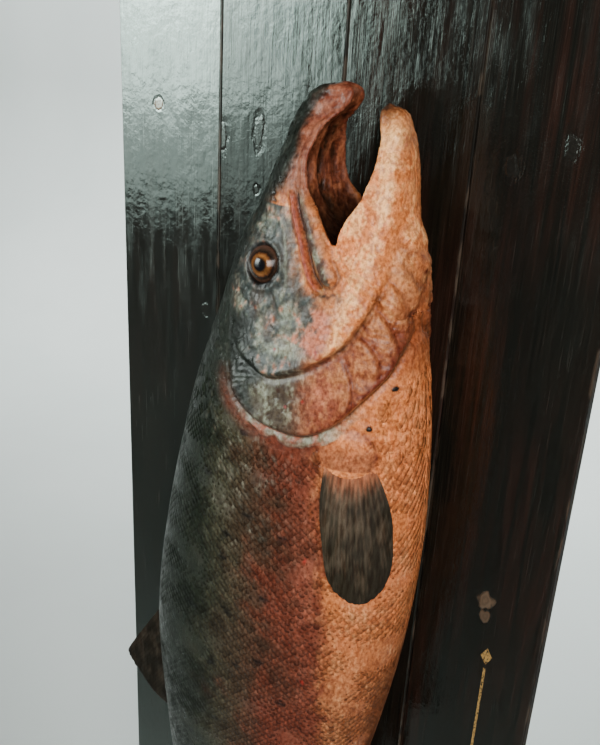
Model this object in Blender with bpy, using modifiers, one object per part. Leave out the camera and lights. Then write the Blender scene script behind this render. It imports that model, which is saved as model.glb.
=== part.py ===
"""Mounted trophy salmon, hung head up on a board of four dark planks.

World frame: metres, +Z up, +Y towards the wall. The origin is the middle of the wall side of the middle
batten. The fish is laid out in its own frame, in centimetres: x runs from the back (-) to the belly (+),
y from the board (-) to the room (+), and s from the tip of the snout towards the tail.
"""

import math

import bmesh
import bpy
import numpy as np

# Board
PLANK_WIDTHS = (0.102, 0.108, 0.103, 0.107)
PLANK_THICKNESS = 0.020
BOARD_LENGTH = 1.240
BOARD_EDGE_BEVEL = 0.0015
BATTEN_COUNT = 3
BATTEN_SIZE = (0.380, 0.020, 0.060)
BATTEN_PITCH = 0.480

# Fish, where it stands on the board
CM = 0.01
GAP = 0.0003
SNOUT_HEIGHT = 0.510
MID_PLANE_FROM_BOARD = 0.065
BOARD_FRONT = -(BATTEN_SIZE[1] + PLANK_THICKNESS)
MID_PLANE = BOARD_FRONT - MID_PLANE_FROM_BOARD

# Fish, in centimetres: each line is given by (s, value) points
HEAD_END = 23.7
TAIL_FLESH_END = 95.6
BACK_LINE = (
    (0.0, 2.75), (0.35, 1.85), (0.9, 0.95), (2.3, -0.05), (4.2, -0.66), (7.1, -1.8), (10.2, -3.35),
    (16, -5.2), (23.5, -7.6), (34, -9.95), (45, -11.3), (57, -10.5), (72, -8.6), (86, -6.6),
    (92, -6.9), (95.6, -5.4),
)
BELLY_LINE = (
    (0.0, 4.0), (0.35, 4.75), (0.9, 4.95), (2.3, 4.4), (3.1, 4.3), (5.6, 5.4), (8.6, 8.2), (10.2, 9.9),
    (12.5, 10.3), (16, 10.6), (23.5, 11.65), (30, 12.05), (40, 11.65), (51, 10.1), (64, 7.3), (76, 4.2),
    (86, 1.9), (92, 2.05), (95.6, 0.4),
)
WIDEST_LINE = (
    (0, 3.35), (2.3, 2.6), (5.6, 2.1), (12.5, 3.1), (20, 2.8), (34, 1.0), (57, -0.7), (80, -2.2),
    (95.6, -2.5),
)
HALF_WIDTH = (
    (0, 0.35), (0.35, 0.85), (0.9, 1.12), (2.0, 1.3), (3.1, 1.95), (4.2, 2.55), (7.1, 3.1), (12.5, 4.38),
    (20, 5.45), (28, 5.7), (40, 5.9), (51, 5.65), (64, 4.58), (80, 2.8), (88, 2.0), (92, 1.4), (95.6, 0.35),
)
LIP_LINE = (
    (0, 3.8), (0.5, 4.35), (1.2, 4.3), (1.9, 3.75), (2.6, 3.0), (3.6, 2.62), (6.4, 2.62), (8.8, 4.05),
    (10, 5.05),
)
PALATE_DEPTH = ((0, 0.15), (1.5, 0.4), (4, 1.0), (7, 1.5), (10, 1.3), (12.2, 0.05))
JAW_START = 1.15
JAW_FRONT_END = 10.0
JAW_END = 14.2
JAW_BACK_LINE = ((1.15, 6.2), (3.5, 5.9), (6.6, 4.0), (8.3, 2.0), (10, -3.2))
JAW_BELLY_LINE = ((1.15, 6.95), (1.6, 7.6), (2.4, 8.2), (3.5, 8.65), (6.6, 9.12), (10, 9.85))
JAW_WIDEST_LINE = ((1.15, 6.65), (3.5, 6.7), (6.6, 5.6), (10, 3.0))
JAW_HALF_WIDTH = ((1.15, 0.35), (1.6, 0.85), (2.4, 1.15), (3.5, 1.6), (6.6, 2.75), (10, 3.82))
JAW_EDGE = ((1.15, 6.35), (1.7, 6.22), (2.5, 6.5), (3.6, 6.74), (6.6, 6.32), (10, 5.2), (14.2, 10.15))
MOUTH_FLOOR_DEPTH = ((1.15, 0.1), (3.5, 0.9), (7, 1.5), (10, 1.2), (12.2, 0.05))
OVAL_POWER = 2.2

# Where the sections of the head and of the lower jaw stand along the fish, and how many stand in each length
SNOUT_STATIONS = (0.05, 0.35, 0.9, 1.5)
UPPER_JAW_SPAN = (2.2, JAW_FRONT_END, 9)
JAW_TIP_STATIONS = (1.17, 1.6, 2.4)
JAW_FRONT_SPAN = (3.5, JAW_FRONT_END, 7)
HEAD_CORNER_SPAN = (10.8, JAW_END - 0.4, 5)
JAW_CORNER_SPAN = (10.8, JAW_END - 0.45, 5)
BEHIND_JAW_SPAN = (15.5, HEAD_END, 6)
THROAT_SLIVER = 0.02
RING_HALF_STEPS = 10
CHORD_STEPS = 6
MOST_SHARE = 0.999

# How far the flank next to the board swells to lie on it
BOARD_SIDE_SWELL = ((24, 0.0), (33, 1.0), (56, 1.0), (70, 0.0))

EYE_PLACE = (-0.03, 11.95)
EYE_RADIUS = 1.45
EYE_SINK = 1.05
EYE_SEGMENTS = 20
EYE_RINGS = 12

GILL_FRONT = ((-1.4, 18.2), (1.6, 19.2), (4.1, 18.2), (6.2, 16.3), (8.1, 13.6))
GILL_REAR = ((-1.6, 21.6), (0.4, 23.1), (2.6, 23.4), (4.8, 23.3), (7.1, 22.0), (8.7, 20.1), (10.1, 17.6))
GILL_COVER_BULGE = 0.18
GILL_COVER_DEPTH = 0.55
MAXILLA_TOP = ((1.6, 5.6), (1.7, 7.0), (2.4, 9.0), (3.6, 11.2), (4.8, 12.8))
MAXILLA_EDGE = ((2.1, 5.5), (2.25, 6.6), (3.3, 8.7), (4.4, 10.3), (5.4, 12.4))
MAXILLA_BULGE = 0.22
MAXILLA_DEPTH = 0.12
PLATE_COLUMNS = 10
PLATE_ROWS = 5
PLATE_ARCH_END = 0.02
POCKET_ROOM = 0.06
POCKET_BULGE = 3.0

TRUNK_CUTS = (HEAD_END, 38.0, 57.0, 75.0, TAIL_FLESH_END)
TRUNK_NAMES = ("trunk_front", "trunk_middle", "trunk_rear", "tail_stock")
TRUNK_RINGS = 7

# Fins: where each fan's rays start and end, from its first ray (0) to its last (1), as (x, y, s)
FIN_THICKNESS = 0.0016
FIN_COLUMNS = 12
RAY_STEPS = 4
DORSAL_ROOTS = ((0, (-10.3, 0, 44.6)), (1, (-9.6, 0, 57.0)))
DORSAL_TIPS = ((0, (-16.4, 0, 54.7)), (0.25, (-15.9, 0, 55.6)), (1, (-11.4, 0, 59.6)))
ADIPOSE_ROOTS = ((0, (-6.6, 0, 76.6)), (1, (-6.4, 0, 79.0)))
ADIPOSE_TIPS = ((0, (-9.3, 0, 80.6)), (0.5, (-9.2, 0, 81.6)), (1, (-8.2, 0, 81.9)))
ANAL_ROOTS = ((0, (3.6, 0, 72.6)), (1, (1.6, 0, 81.4)))
ANAL_TIPS = ((0, (10.4, 0, 79.8)), (0.25, (10.0, 0, 81.4)), (1, (4.6, 0, 84.9)))
TAIL_ROOTS = ((0, (-5.6, 0, 90.4)), (0.2, (-4.4, 0, 92.5)), (0.8, (-0.6, 0, 92.5)), (1, (0.7, 0, 90.4)))
TAIL_TIPS = (
    (0, (-12.6, 0, 99.8)), (0.07, (-12.9, 0, 101.5)), (0.16, (-11.3, 0, 102)), (0.5, (-2.5, 0, 100.4)),
    (0.84, (6.3, 0, 102)), (0.93, (7.9, 0, 101.5)), (1, (7.6, 0, 99.8)),
)
# The pectoral fin lies along the flank: its y is how far it stands off
PECTORAL_ROOTS = ((0, (6.3, 0.13, 24.2)), (1, (9.2, 0.13, 24.9)))
PECTORAL_TIPS = (
    (0, (6.75, 0.4, 31.8)), (0.27, (7.65, 0.55, 34.5)), (0.55, (9.4, 0.6, 35.65)), (0.8, (10.95, 0.5, 33.9)),
    (1, (11.0, 0.4, 29.6)),
)
PECTORAL_BOW = (0, 0.35, 0)
PELVIC_ROOTS = ((0, (9.2, 1.9, 54.2)), (1, (8.5, 0.9, 56.2)))
PELVIC_TIPS = ((0, (10.1, 3.9, 61.4)), (0.35, (9.4, 3.5, 62.6)), (1, (7.9, 2.2, 61.0)))
PELVIC_BOW = (0.15, 0.1, 0)

# Finishes: colour and roughness
STAINED_WOOD = ((0.02, 0.015, 0.012), 0.35)
RAW_WOOD = ((0.10, 0.06, 0.035), 0.7)
FLANK_SKIN = ((0.28, 0.17, 0.12), 0.35)
HEAD_SKIN = ((0.33, 0.20, 0.14), 0.3)
FIN_SKIN = ((0.045, 0.035, 0.025), 0.4)
EYE_GLASS = ((0.16, 0.07, 0.02), 0.05)
SHARP_ANGLE = 40
MERGE_DISTANCE = 1e-6

COLLECTION = "mounted_salmon"
CUTTER_COLLECTION = "cutters"


def clear_scene():
    for obj in list(bpy.data.objects):
        bpy.data.objects.remove(obj, do_unlink=True)
    for name in (COLLECTION, CUTTER_COLLECTION):
        bpy.context.scene.collection.children.link(bpy.data.collections.new(name))


def material(name, colour, roughness):
    made = bpy.data.materials.new(name)
    made.use_nodes = True
    shader = made.node_tree.nodes["Principled BSDF"]
    shader.inputs["Base Color"].default_value = (*colour, 1.0)
    shader.inputs["Roughness"].default_value = roughness
    return made


def line(points):
    """A smooth line through (position, value) points, level beyond its ends."""
    at, value = np.array(points, float).T
    slope = np.gradient(value, at)

    def read(where):
        where = np.clip(np.asarray(where, float), at[0], at[-1])
        k = np.clip(np.searchsorted(at, where, side="right") - 1, 0, len(at) - 2)
        step = at[k + 1] - at[k]
        u = (where - at[k]) / step
        start = (2 * u**3 - 3 * u**2 + 1) * value[k] + (u**3 - 2 * u**2 + u) * step * slope[k]
        end = (3 * u**2 - 2 * u**3) * value[k + 1] + (u**3 - u**2) * step * slope[k + 1]
        return start + end

    return read


BODY_LINES = [line(points) for points in (BACK_LINE, WIDEST_LINE, BELLY_LINE, HALF_WIDTH)]
JAW_TABLES = (JAW_BACK_LINE, JAW_WIDEST_LINE, JAW_BELLY_LINE, JAW_HALF_WIDTH)
JAW_LINES = [line(points) for points in JAW_TABLES]
lip_line = line(LIP_LINE)
jaw_edge = line(JAW_EDGE)
palate_depth = line(PALATE_DEPTH)
floor_depth = line(MOUTH_FLOOR_DEPTH)
board_side_swell = line(BOARD_SIDE_SWELL)


def body_width(x, s):
    """Half the width of the whole body at height x of section s."""
    back, widest, belly, half = (read(s) for read in BODY_LINES)
    reach = np.where(x < widest, widest - back, belly - widest)
    return half * np.clip(1 - np.abs((x - widest) / reach) ** OVAL_POWER, 0, None) ** (1 / OVAL_POWER)


def place(x, y, s):
    """World point of a point in the fish's own frame."""
    return (x * CM, MID_PLANE - y * CM, SNOUT_HEIGHT - s * CM)


def own_object(name, mesh, collection=COLLECTION, finish=None):
    obj = bpy.data.objects.new(name, mesh)
    bpy.data.collections[collection].objects.link(obj)
    if collection == CUTTER_COLLECTION:
        obj.hide_render = True
        obj.display_type = "WIRE"
    if finish:
        mesh.materials.append(finish)
        mesh.shade_smooth()
        mesh.set_sharp_from_angle(angle=math.radians(SHARP_ANGLE))
    return obj


def grid_mesh(name, rows, close_rows, caps, ladder=False):
    """A mesh on rows of fish-frame points.

    close_rows joins each row's ends, and caps closes the first and the last row. With ladder, a cap is a
    strip of quads between the row's first half and its second half.
    """
    bm = bmesh.new()
    made = [[bm.verts.new(place(*point)) for point in row] for row in rows]
    for near, far in zip(made, made[1:]):
        columns = range(len(near) if close_rows else len(near) - 1)
        for i in columns:
            j = (i + 1) % len(near)
            bm.faces.new((near[i], near[j], far[j], far[i]))
    if caps and ladder:
        for row in (made[0], made[-1]):
            for i in range(len(row) // 2 - 1):
                bm.faces.new((row[i], row[i + 1], row[-2 - i], row[-1 - i]))
    elif caps:
        bm.faces.new(made[0])
        bm.faces.new(list(reversed(made[-1])))
    bmesh.ops.remove_doubles(bm, verts=bm.verts, dist=MERGE_DISTANCE)
    bmesh.ops.recalc_face_normals(bm, faces=bm.faces)
    if caps and bm.calc_volume(signed=True) < 0:
        bmesh.ops.reverse_faces(bm, faces=bm.faces)
    mesh = bpy.data.meshes.new(name)
    bm.to_mesh(mesh)
    bm.free()
    return mesh


def oval_point(lines, s, angle):
    """(x, y) on section s: angle 0 is the belly, pi the back, and y is positive towards the room."""
    back, widest, belly, half = (float(read(s)) for read in lines)
    across = math.copysign(abs(math.cos(angle)) ** (2 / OVAL_POWER), math.cos(angle))
    x = widest + across * ((belly - widest) if across > 0 else (widest - back))
    return x, half * abs(math.sin(angle)) ** (2 / OVAL_POWER)


def angle_at(lines, s, x):
    back, widest, belly, _ = (float(read(s)) for read in lines)
    reach = (belly - widest) if x > widest else (widest - back)
    share = min(abs(x - widest) / reach, MOST_SHARE) ** (OVAL_POWER / 2)
    return math.acos(math.copysign(share, x - widest))


def cut_ring(lines, s, cut, hollow, keep_back):
    """Section s cut along the chord x = cut, which sinks by hollow into the kept side."""
    start = angle_at(lines, s, cut)
    end = math.pi if keep_back else 0.0
    angles = np.linspace(start, end, RING_HALF_STEPS + 1)
    side = [oval_point(lines, s, angle) for angle in angles]
    ring = [(x, y, s) for x, y in side] + [(x, -y, s) for x, y in side[-2::-1]]
    rim = side[0][1]
    sink = -hollow if keep_back else hollow
    for i in range(1, CHORD_STEPS):
        across = 2 * i / CHORD_STEPS - 1
        ring.append((cut + sink * (1 - across**2), across * rim, s))
    return ring


def full_ring(s, margin=0.0):
    """A whole section, with the side next to the board swollen out to it and flattened on it."""
    ring = []
    steps = 3 * RING_HALF_STEPS
    flat = MID_PLANE_FROM_BOARD / CM - GAP / CM
    back, widest, belly, half = (float(read(s)) for read in BODY_LINES)
    for i in range(steps):
        angle = 2 * math.pi * i / steps
        x, y = oval_point(BODY_LINES, s, angle if angle <= math.pi else 2 * math.pi - angle)
        if angle > math.pi:
            y = -min(y * (1 + float(board_side_swell(s)) / half), flat)
        away = math.hypot(x - widest, y) or 1.0
        ring.append((x + margin * (x - widest) / away, y + margin * y / away, s))
    return ring


def head_cut(s):
    """Where section s of the head ends: at the lip, and behind it a gap short of the lower jaw."""
    if s <= JAW_FRONT_END:
        return float(lip_line(s))
    return float(jaw_edge(s)) - GAP / CM


def make_head(finish):
    rows = []
    for s in (*SNOUT_STATIONS, *np.linspace(*UPPER_JAW_SPAN), *np.linspace(*HEAD_CORNER_SPAN)):
        rows.append(cut_ring(BODY_LINES, s, head_cut(s), float(palate_depth(s)), keep_back=True))
    start, end, count = BEHIND_JAW_SPAN
    for s in (JAW_END + GAP / CM, *np.linspace(start, end - GAP / CM, count)):
        belly = float(BODY_LINES[2](s))
        rows.append(cut_ring(BODY_LINES, s, belly - THROAT_SLIVER, 0.0, keep_back=True))
    return own_object("head", grid_mesh("head", rows, True, True), finish=finish)


def make_lower_jaw(finish):
    rows = []
    for s in (*JAW_TIP_STATIONS, *np.linspace(*JAW_FRONT_SPAN)[:-1]):
        rows.append(cut_ring(JAW_LINES, s, float(jaw_edge(s)), float(floor_depth(s)), keep_back=False))
    for s in (JAW_FRONT_END, *np.linspace(*JAW_CORNER_SPAN)):
        rows.append(cut_ring(BODY_LINES, s, float(jaw_edge(s)), float(floor_depth(s)), keep_back=False))
    return own_object("lower_jaw", grid_mesh("lower_jaw", rows, True, True), finish=finish)


def subtract(obj, cutter):
    modifier = obj.modifiers.new("cut_" + cutter.name, "BOOLEAN")
    modifier.operation = "DIFFERENCE"
    modifier.solver = "EXACT"
    modifier.object = cutter


def ball(name, centre, radius, collection, finish=None):
    bm = bmesh.new()
    bmesh.ops.create_uvsphere(bm, u_segments=EYE_SEGMENTS, v_segments=EYE_RINGS, radius=radius)
    mesh = bpy.data.meshes.new(name)
    bm.to_mesh(mesh)
    bm.free()
    obj = own_object(name, mesh, collection, finish)
    obj.location = centre
    obj.rotation_euler = (math.radians(90), 0, 0)
    return obj


def make_eye(side_name, side, head, finish):
    x, s = EYE_PLACE
    y = side * (float(body_width(x, s)) - EYE_SINK)
    centre = place(x, y, s)
    ball("eye_" + side_name, centre, EYE_RADIUS * CM, COLLECTION, finish)
    subtract(head, ball("socket_" + side_name, centre, EYE_RADIUS * CM + GAP, CUTTER_COLLECTION))


def evenly_spaced(points):
    """The line through (x, s) points as a function of the share of the way along it."""
    share = np.linspace(0, 1, len(points))
    read_x, read_s = (line(list(zip(share, values))) for values in np.array(points).T)
    return lambda along: np.array([float(read_x(along)), float(read_s(along))])


def flank_plate(name, side, edges, depth, bulge, room=0.0, collection=COLLECTION, finish=None):
    """A plate between two edges on the flank, arched out by bulge and let in by depth.

    room is how much larger than its edges it is all round.
    """
    first, last = (evenly_spaced(edge) for edge in edges)
    across = [i / PLATE_COLUMNS for i in range(PLATE_COLUMNS + 1)]
    deep = [j / PLATE_ROWS for j in range(PLATE_ROWS + 1)]
    reach = first(1) - first(0)
    if room:
        room_across = room / np.linalg.norm(reach)
        room_deep = room / np.linalg.norm(last(0.5) - first(0.5))
        across = [-room_across, *across, 1 + room_across]
        deep = [-room_deep, *deep, 1 + room_deep]
    rows = []
    for v in deep:
        outer = []
        inner = []
        for u in across:
            along = min(max(u, 0), 1)
            x, s = first(along) * (1 - v) + last(along) * v + (u - along) * reach
            width = float(body_width(x, s))
            place_on_arch = PLATE_ARCH_END + (1 - 2 * PLATE_ARCH_END) * along
            arch = math.sqrt(math.sin(math.pi * place_on_arch)) * (1 + v) / 2
            outer.append((x, side * (width + bulge * arch), s))
            inner.append((x, side * (width - depth - room), s))
        rows.append(outer + inner[::-1])
    return own_object(name, grid_mesh(name, rows, True, True, ladder=True), collection, finish)


def inlay_plate(name, side_name, side, edges, depth, bulge, head, finish):
    flank_plate(f"{name}_{side_name}", side, edges, depth, bulge, finish=finish)
    name = f"{name}_pocket_{side_name}"
    pocket = flank_plate(name, side, edges, depth, POCKET_BULGE, POCKET_ROOM, CUTTER_COLLECTION)
    subtract(head, pocket)


def trunk_stations():
    """One list of stations for each length of the trunk, half a gap inside its cuts."""
    half_gap = GAP / CM / 2
    lengths = zip(TRUNK_CUTS, TRUNK_CUTS[1:])
    return [np.linspace(start + half_gap, end - half_gap, TRUNK_RINGS) for start, end in lengths]


def make_trunk(finish):
    for name, places in zip(TRUNK_NAMES, trunk_stations()):
        rows = [full_ring(s) for s in places]
        own_object(name, grid_mesh(name, rows, True, True), finish=finish)


def make_fin_cutter():
    """The whole body behind the head, a gap larger than it is all round."""
    rows = [full_ring(s, GAP / CM) for places in trunk_stations() for s in places]
    rows.append([(x, y, s + 2 * GAP / CM) for x, y, s in rows[-1]])
    return own_object("body_room", grid_mesh("body_room", rows, True, True), CUTTER_COLLECTION)


def ends_line(points):
    """(x, y, s) as a function of the share of the way through the fan."""
    reads = [line([(t, point[k]) for t, point in points]) for k in range(3)]
    return lambda t: np.array([float(read(t)) for read in reads])


def make_fin(name, roots, tips, cutter, finish, bow=(0, 0, 0), side=1, on_flank=False):
    """A fan of rays from roots to tips, whose middles stand off by bow. side is -1 for the mirrored fin."""
    bow = np.array(bow)
    root_at = ends_line(roots)
    tip_at = ends_line(tips)
    rows = []
    for i in range(FIN_COLUMNS + 1):
        root = root_at(i / FIN_COLUMNS)
        tip = tip_at(i / FIN_COLUMNS)
        row = []
        for j in range(RAY_STEPS + 1):
            u = j / RAY_STEPS
            x, y, s = root + (tip - root) * u + bow * 4 * u * (1 - u)
            if on_flank:
                y += float(body_width(x, s))
            row.append((x, side * y, s))
        rows.append(row)
    obj = own_object(name, grid_mesh(name, rows, False, False), finish=finish)
    solid = obj.modifiers.new("thickness", "SOLIDIFY")
    solid.thickness = FIN_THICKNESS
    solid.offset = 0.0
    subtract(obj, cutter)
    return obj


def make_box(name, centre, size, finish):
    bm = bmesh.new()
    bmesh.ops.create_cube(bm, size=1.0)
    bmesh.ops.scale(bm, vec=size, verts=bm.verts)
    mesh = bpy.data.meshes.new(name)
    bm.to_mesh(mesh)
    bm.free()
    obj = own_object(name, mesh, finish=finish)
    obj.location = centre
    bevel = obj.modifiers.new("edge", "BEVEL")
    bevel.width = BOARD_EDGE_BEVEL
    bevel.segments = 1
    return obj


def make_board(finish, back_finish):
    left = -sum(PLANK_WIDTHS) / 2
    y = BOARD_FRONT + PLANK_THICKNESS / 2
    for i, width in enumerate(PLANK_WIDTHS):
        size = (width - GAP, PLANK_THICKNESS, BOARD_LENGTH)
        make_box(f"plank_{i + 1}", (left + width / 2, y, 0), size, finish)
        left += width
    width, depth, height = BATTEN_SIZE
    for i in range(BATTEN_COUNT):
        z = ((BATTEN_COUNT - 1) / 2 - i) * BATTEN_PITCH
        make_box(f"batten_{i + 1}", (0, -(depth - GAP) / 2, z), (width, depth - GAP, height), back_finish)


def make_sides(head, cutter, head_skin, fin_skin, glass):
    """The eyes, gill covers, upper lips and paired fins."""
    for side_name, side in (("right", 1), ("left", -1)):
        make_eye(side_name, side, head, glass)
        edges = (GILL_FRONT, GILL_REAR)
        inlay_plate("gill_cover", side_name, side, edges, GILL_COVER_DEPTH, GILL_COVER_BULGE, head, head_skin)
        edges = (MAXILLA_TOP, MAXILLA_EDGE)
        inlay_plate("maxilla", side_name, side, edges, MAXILLA_DEPTH, MAXILLA_BULGE, head, head_skin)
        name = "pectoral_fin_" + side_name
        make_fin(name, PECTORAL_ROOTS, PECTORAL_TIPS, cutter, fin_skin, PECTORAL_BOW, side, True)
        name = "pelvic_fin_" + side_name
        make_fin(name, PELVIC_ROOTS, PELVIC_TIPS, cutter, fin_skin, PELVIC_BOW, side)


def main():
    clear_scene()
    make_board(material("stained_wood", *STAINED_WOOD), material("raw_wood", *RAW_WOOD))
    head_skin = material("head_skin", *HEAD_SKIN)
    fin_skin = material("fin_skin", *FIN_SKIN)
    head = make_head(head_skin)
    make_lower_jaw(head_skin)
    make_trunk(material("flank_skin", *FLANK_SKIN))
    cutter = make_fin_cutter()
    make_fin("dorsal_fin", DORSAL_ROOTS, DORSAL_TIPS, cutter, fin_skin)
    make_fin("adipose_fin", ADIPOSE_ROOTS, ADIPOSE_TIPS, cutter, fin_skin)
    make_fin("anal_fin", ANAL_ROOTS, ANAL_TIPS, cutter, fin_skin)
    make_fin("tail_fin", TAIL_ROOTS, TAIL_TIPS, cutter, fin_skin)
    make_sides(head, cutter, head_skin, fin_skin, material("eye_glass", *EYE_GLASS))


main()
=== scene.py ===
"""The looks of the mounted trophy salmon: its skin, scales, fins and eyes, the planks, and a plain studio.

The fish is laid out in its own frame, in centimetres, as in the part's source: x runs from the back (-) to
the belly (+), y from the board (-) to the room (+), and s from the tip of the snout towards the tail.
"""

import math

import bmesh
import bpy
import numpy as np
from mathutils import Matrix, Vector


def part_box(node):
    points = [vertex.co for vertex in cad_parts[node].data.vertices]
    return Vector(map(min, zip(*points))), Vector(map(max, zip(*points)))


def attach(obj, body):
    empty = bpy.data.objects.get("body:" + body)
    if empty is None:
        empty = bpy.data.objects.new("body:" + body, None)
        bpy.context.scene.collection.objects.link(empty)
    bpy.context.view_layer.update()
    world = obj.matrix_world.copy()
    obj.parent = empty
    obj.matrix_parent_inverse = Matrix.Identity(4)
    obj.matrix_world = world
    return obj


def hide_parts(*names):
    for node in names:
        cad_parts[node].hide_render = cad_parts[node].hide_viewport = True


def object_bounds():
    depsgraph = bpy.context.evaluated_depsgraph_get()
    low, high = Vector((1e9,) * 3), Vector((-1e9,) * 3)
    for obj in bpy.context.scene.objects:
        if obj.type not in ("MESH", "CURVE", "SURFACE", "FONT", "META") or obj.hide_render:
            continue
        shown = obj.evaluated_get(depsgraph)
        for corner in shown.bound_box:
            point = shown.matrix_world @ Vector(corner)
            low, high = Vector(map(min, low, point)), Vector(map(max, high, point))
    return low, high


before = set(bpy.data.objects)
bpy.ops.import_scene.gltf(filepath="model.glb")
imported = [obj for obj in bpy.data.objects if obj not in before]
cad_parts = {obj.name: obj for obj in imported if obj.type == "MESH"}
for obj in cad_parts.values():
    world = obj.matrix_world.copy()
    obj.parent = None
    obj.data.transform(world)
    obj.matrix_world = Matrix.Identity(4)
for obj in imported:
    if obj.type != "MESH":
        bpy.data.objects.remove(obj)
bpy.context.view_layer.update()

# ---------------------------------------------------------------------------------------------------------
# The fish's place, read from the frame
# ---------------------------------------------------------------------------------------------------------

CM = 0.01
FIRST_RING = 0.05
FLANK_GAP = 0.03
BOARD_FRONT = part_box("plank_1")[0].y
MID_PLANE = (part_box("tail_fin")[0].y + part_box("tail_fin")[1].y) / 2
SNOUT_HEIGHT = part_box("head")[1].z + FIRST_RING * CM
BOARD_SIDE = (BOARD_FRONT - MID_PLANE) / CM - FLANK_GAP


def to_world(points):
    """World metres of fish-frame centimetres, an (n, 3) array of x, y, s."""
    x, y, s = np.asarray(points, float).T
    return np.stack([x * CM, MID_PLANE - y * CM, SNOUT_HEIGHT - s * CM], axis=1)


# ---------------------------------------------------------------------------------------------------------
# Smooth lines and noise
# ---------------------------------------------------------------------------------------------------------


def line(points):
    """A smooth line through (position, value) points, level beyond its ends."""
    at, value = np.array(points, float).T
    slope = np.gradient(value, at)

    def read(where):
        where = np.clip(np.asarray(where, float), at[0], at[-1])
        k = np.clip(np.searchsorted(at, where, side="right") - 1, 0, len(at) - 2)
        step = at[k + 1] - at[k]
        u = (where - at[k]) / step
        start = (2 * u**3 - 3 * u**2 + 1) * value[k] + (u**3 - 2 * u**2 + u) * step * slope[k]
        end = (3 * u**2 - 2 * u**3) * value[k + 1] + (u**3 - u**2) * step * slope[k + 1]
        return start + end

    return read


def sigmoid(value):
    return 0.5 + 0.5 * np.tanh(value)


def bell(value, width):
    """1 at zero, falling off over width to both sides."""
    return np.exp(-((value / width) ** 2))


def smooth_max(a, b, soft):
    """The larger of two fields, rounded over a width of soft where they cross."""
    blend = np.clip(0.5 + 0.5 * (a - b) / soft, 0, 1)
    return b + (a - b) * blend + soft * blend * (1 - blend)


def smooth_min(a, b, soft):
    return -smooth_max(-a, -b, soft)


LATTICE_SIZE = 32
LATTICE = np.random.default_rng(7).random((LATTICE_SIZE,) * 3)


def noise(points, size, seed=0):
    """Smooth noise from -1 to 1, with features of the given size (one number, or one for each axis)."""
    q = points / np.asarray(size, float) + seed * np.array((7.31, 3.17, 5.71))
    low = np.floor(q).astype(int)
    f = q - low
    f = f * f * (3 - 2 * f)
    total = np.zeros(len(q))
    for corner in np.ndindex(2, 2, 2):
        weight = np.prod(np.where(corner, f, 1 - f), axis=1)
        i, j, k = ((low + corner) % LATTICE_SIZE).T
        total += weight * LATTICE[i, j, k]
    return 2 * total - 1


def layered_noise(points, size, layers, seed=0):
    total = np.zeros(len(points))
    for i in range(layers):
        total += 0.5**i * noise(points, np.asarray(size, float) * 0.5**i, seed + 3 * i)
    return total / 1.5


def mottle(points, size, layers, seed):
    """Blotchy noise: layers of noise read at places that are themselves shifted about."""
    drift = noise(points, np.asarray(size, float) * 1.6, seed + 40)
    return layered_noise(points + 0.6 * size * drift[:, None], size, layers, seed)


class Stroke:
    """A smooth line drawn on the flank through (x, s) points."""

    STEPS = 48
    REACH = 4
    FAR_OFF = 99.0
    BATCH = 40000

    def __init__(self, *points):
        points = np.array(points, float)
        walked = np.concatenate([[0], np.cumsum(np.hypot(*np.diff(points, axis=0).T))])
        share = walked / walked[-1]
        at = np.linspace(0, 1, self.STEPS)
        self.path = np.stack([line(list(zip(share, column)))(at) for column in points.T], axis=1)
        tangent = np.gradient(self.path, axis=0)
        self.tangent = tangent / np.linalg.norm(tangent, axis=1, keepdims=True)

    def off(self, x, s):
        """How far each point is off the line, positive on the side of +x for a line that runs along +s, and
        how far along the line it is, from 0 to 1."""
        offset = np.full(len(x), self.FAR_OFF)
        along = np.zeros(len(x))
        low = self.path.min(axis=0) - self.REACH
        high = self.path.max(axis=0) + self.REACH
        where = np.flatnonzero((x > low[0]) & (x < high[0]) & (s > low[1]) & (s < high[1]))
        for part in np.array_split(where, max(1, len(where) // self.BATCH)):
            dx = x[part, None] - self.path[:, 0]
            ds = s[part, None] - self.path[:, 1]
            k = (dx * dx + ds * ds).argmin(axis=1)
            dx = dx[np.arange(len(part)), k]
            ds = ds[np.arange(len(part)), k]
            tx, ts = self.tangent[k].T
            forward = dx * tx + ds * ts
            across = dx * ts - ds * tx
            before = np.where(k == 0, np.maximum(-forward, 0), 0)
            after = np.where(k == self.STEPS - 1, np.maximum(forward, 0), 0)
            offset[part] = np.copysign(np.hypot(across, before + after), across)
            along[part] = k / (self.STEPS - 1)
        return offset, along

    def band(self, x, s, width, centre=0.0, ends=0.08):
        """1 on the line shifted by centre, fading over width beside it and towards both its ends."""
        offset, along = self.off(x, s)
        taper = np.clip(np.minimum(along, 1 - along) / ends, 0, 1)
        return bell(offset - centre, width) * taper


# ---------------------------------------------------------------------------------------------------------
# The fish's lines, in centimetres, as in the part's source
# ---------------------------------------------------------------------------------------------------------

BACK_LINE = line((
    (0.0, 2.75), (0.35, 1.85), (0.9, 0.95), (2.3, -0.05), (4.2, -0.66), (7.1, -1.8), (10.2, -3.35),
    (16, -5.2), (23.5, -7.6), (34, -9.95), (45, -11.3), (57, -10.5), (72, -8.6), (86, -6.6),
    (92, -6.9), (95.6, -5.4),
))
BELLY_LINE = line((
    (0.0, 4.0), (0.35, 4.75), (0.9, 4.95), (2.3, 4.4), (3.1, 4.3), (5.6, 5.4), (8.6, 8.2), (10.2, 9.9),
    (12.5, 10.3), (16, 10.6), (23.5, 11.65), (30, 12.05), (40, 11.65), (51, 10.1), (64, 7.3), (76, 4.2),
    (86, 1.9),
    (92, 2.05), (95.6, 0.4),
))
WIDEST_LINE = line((
    (0, 3.35), (2.3, 2.6), (5.6, 2.1), (12.5, 3.1), (20, 2.8), (34, 1.0), (57, -0.7), (80, -2.2),
    (95.6, -2.5),
))
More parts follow.
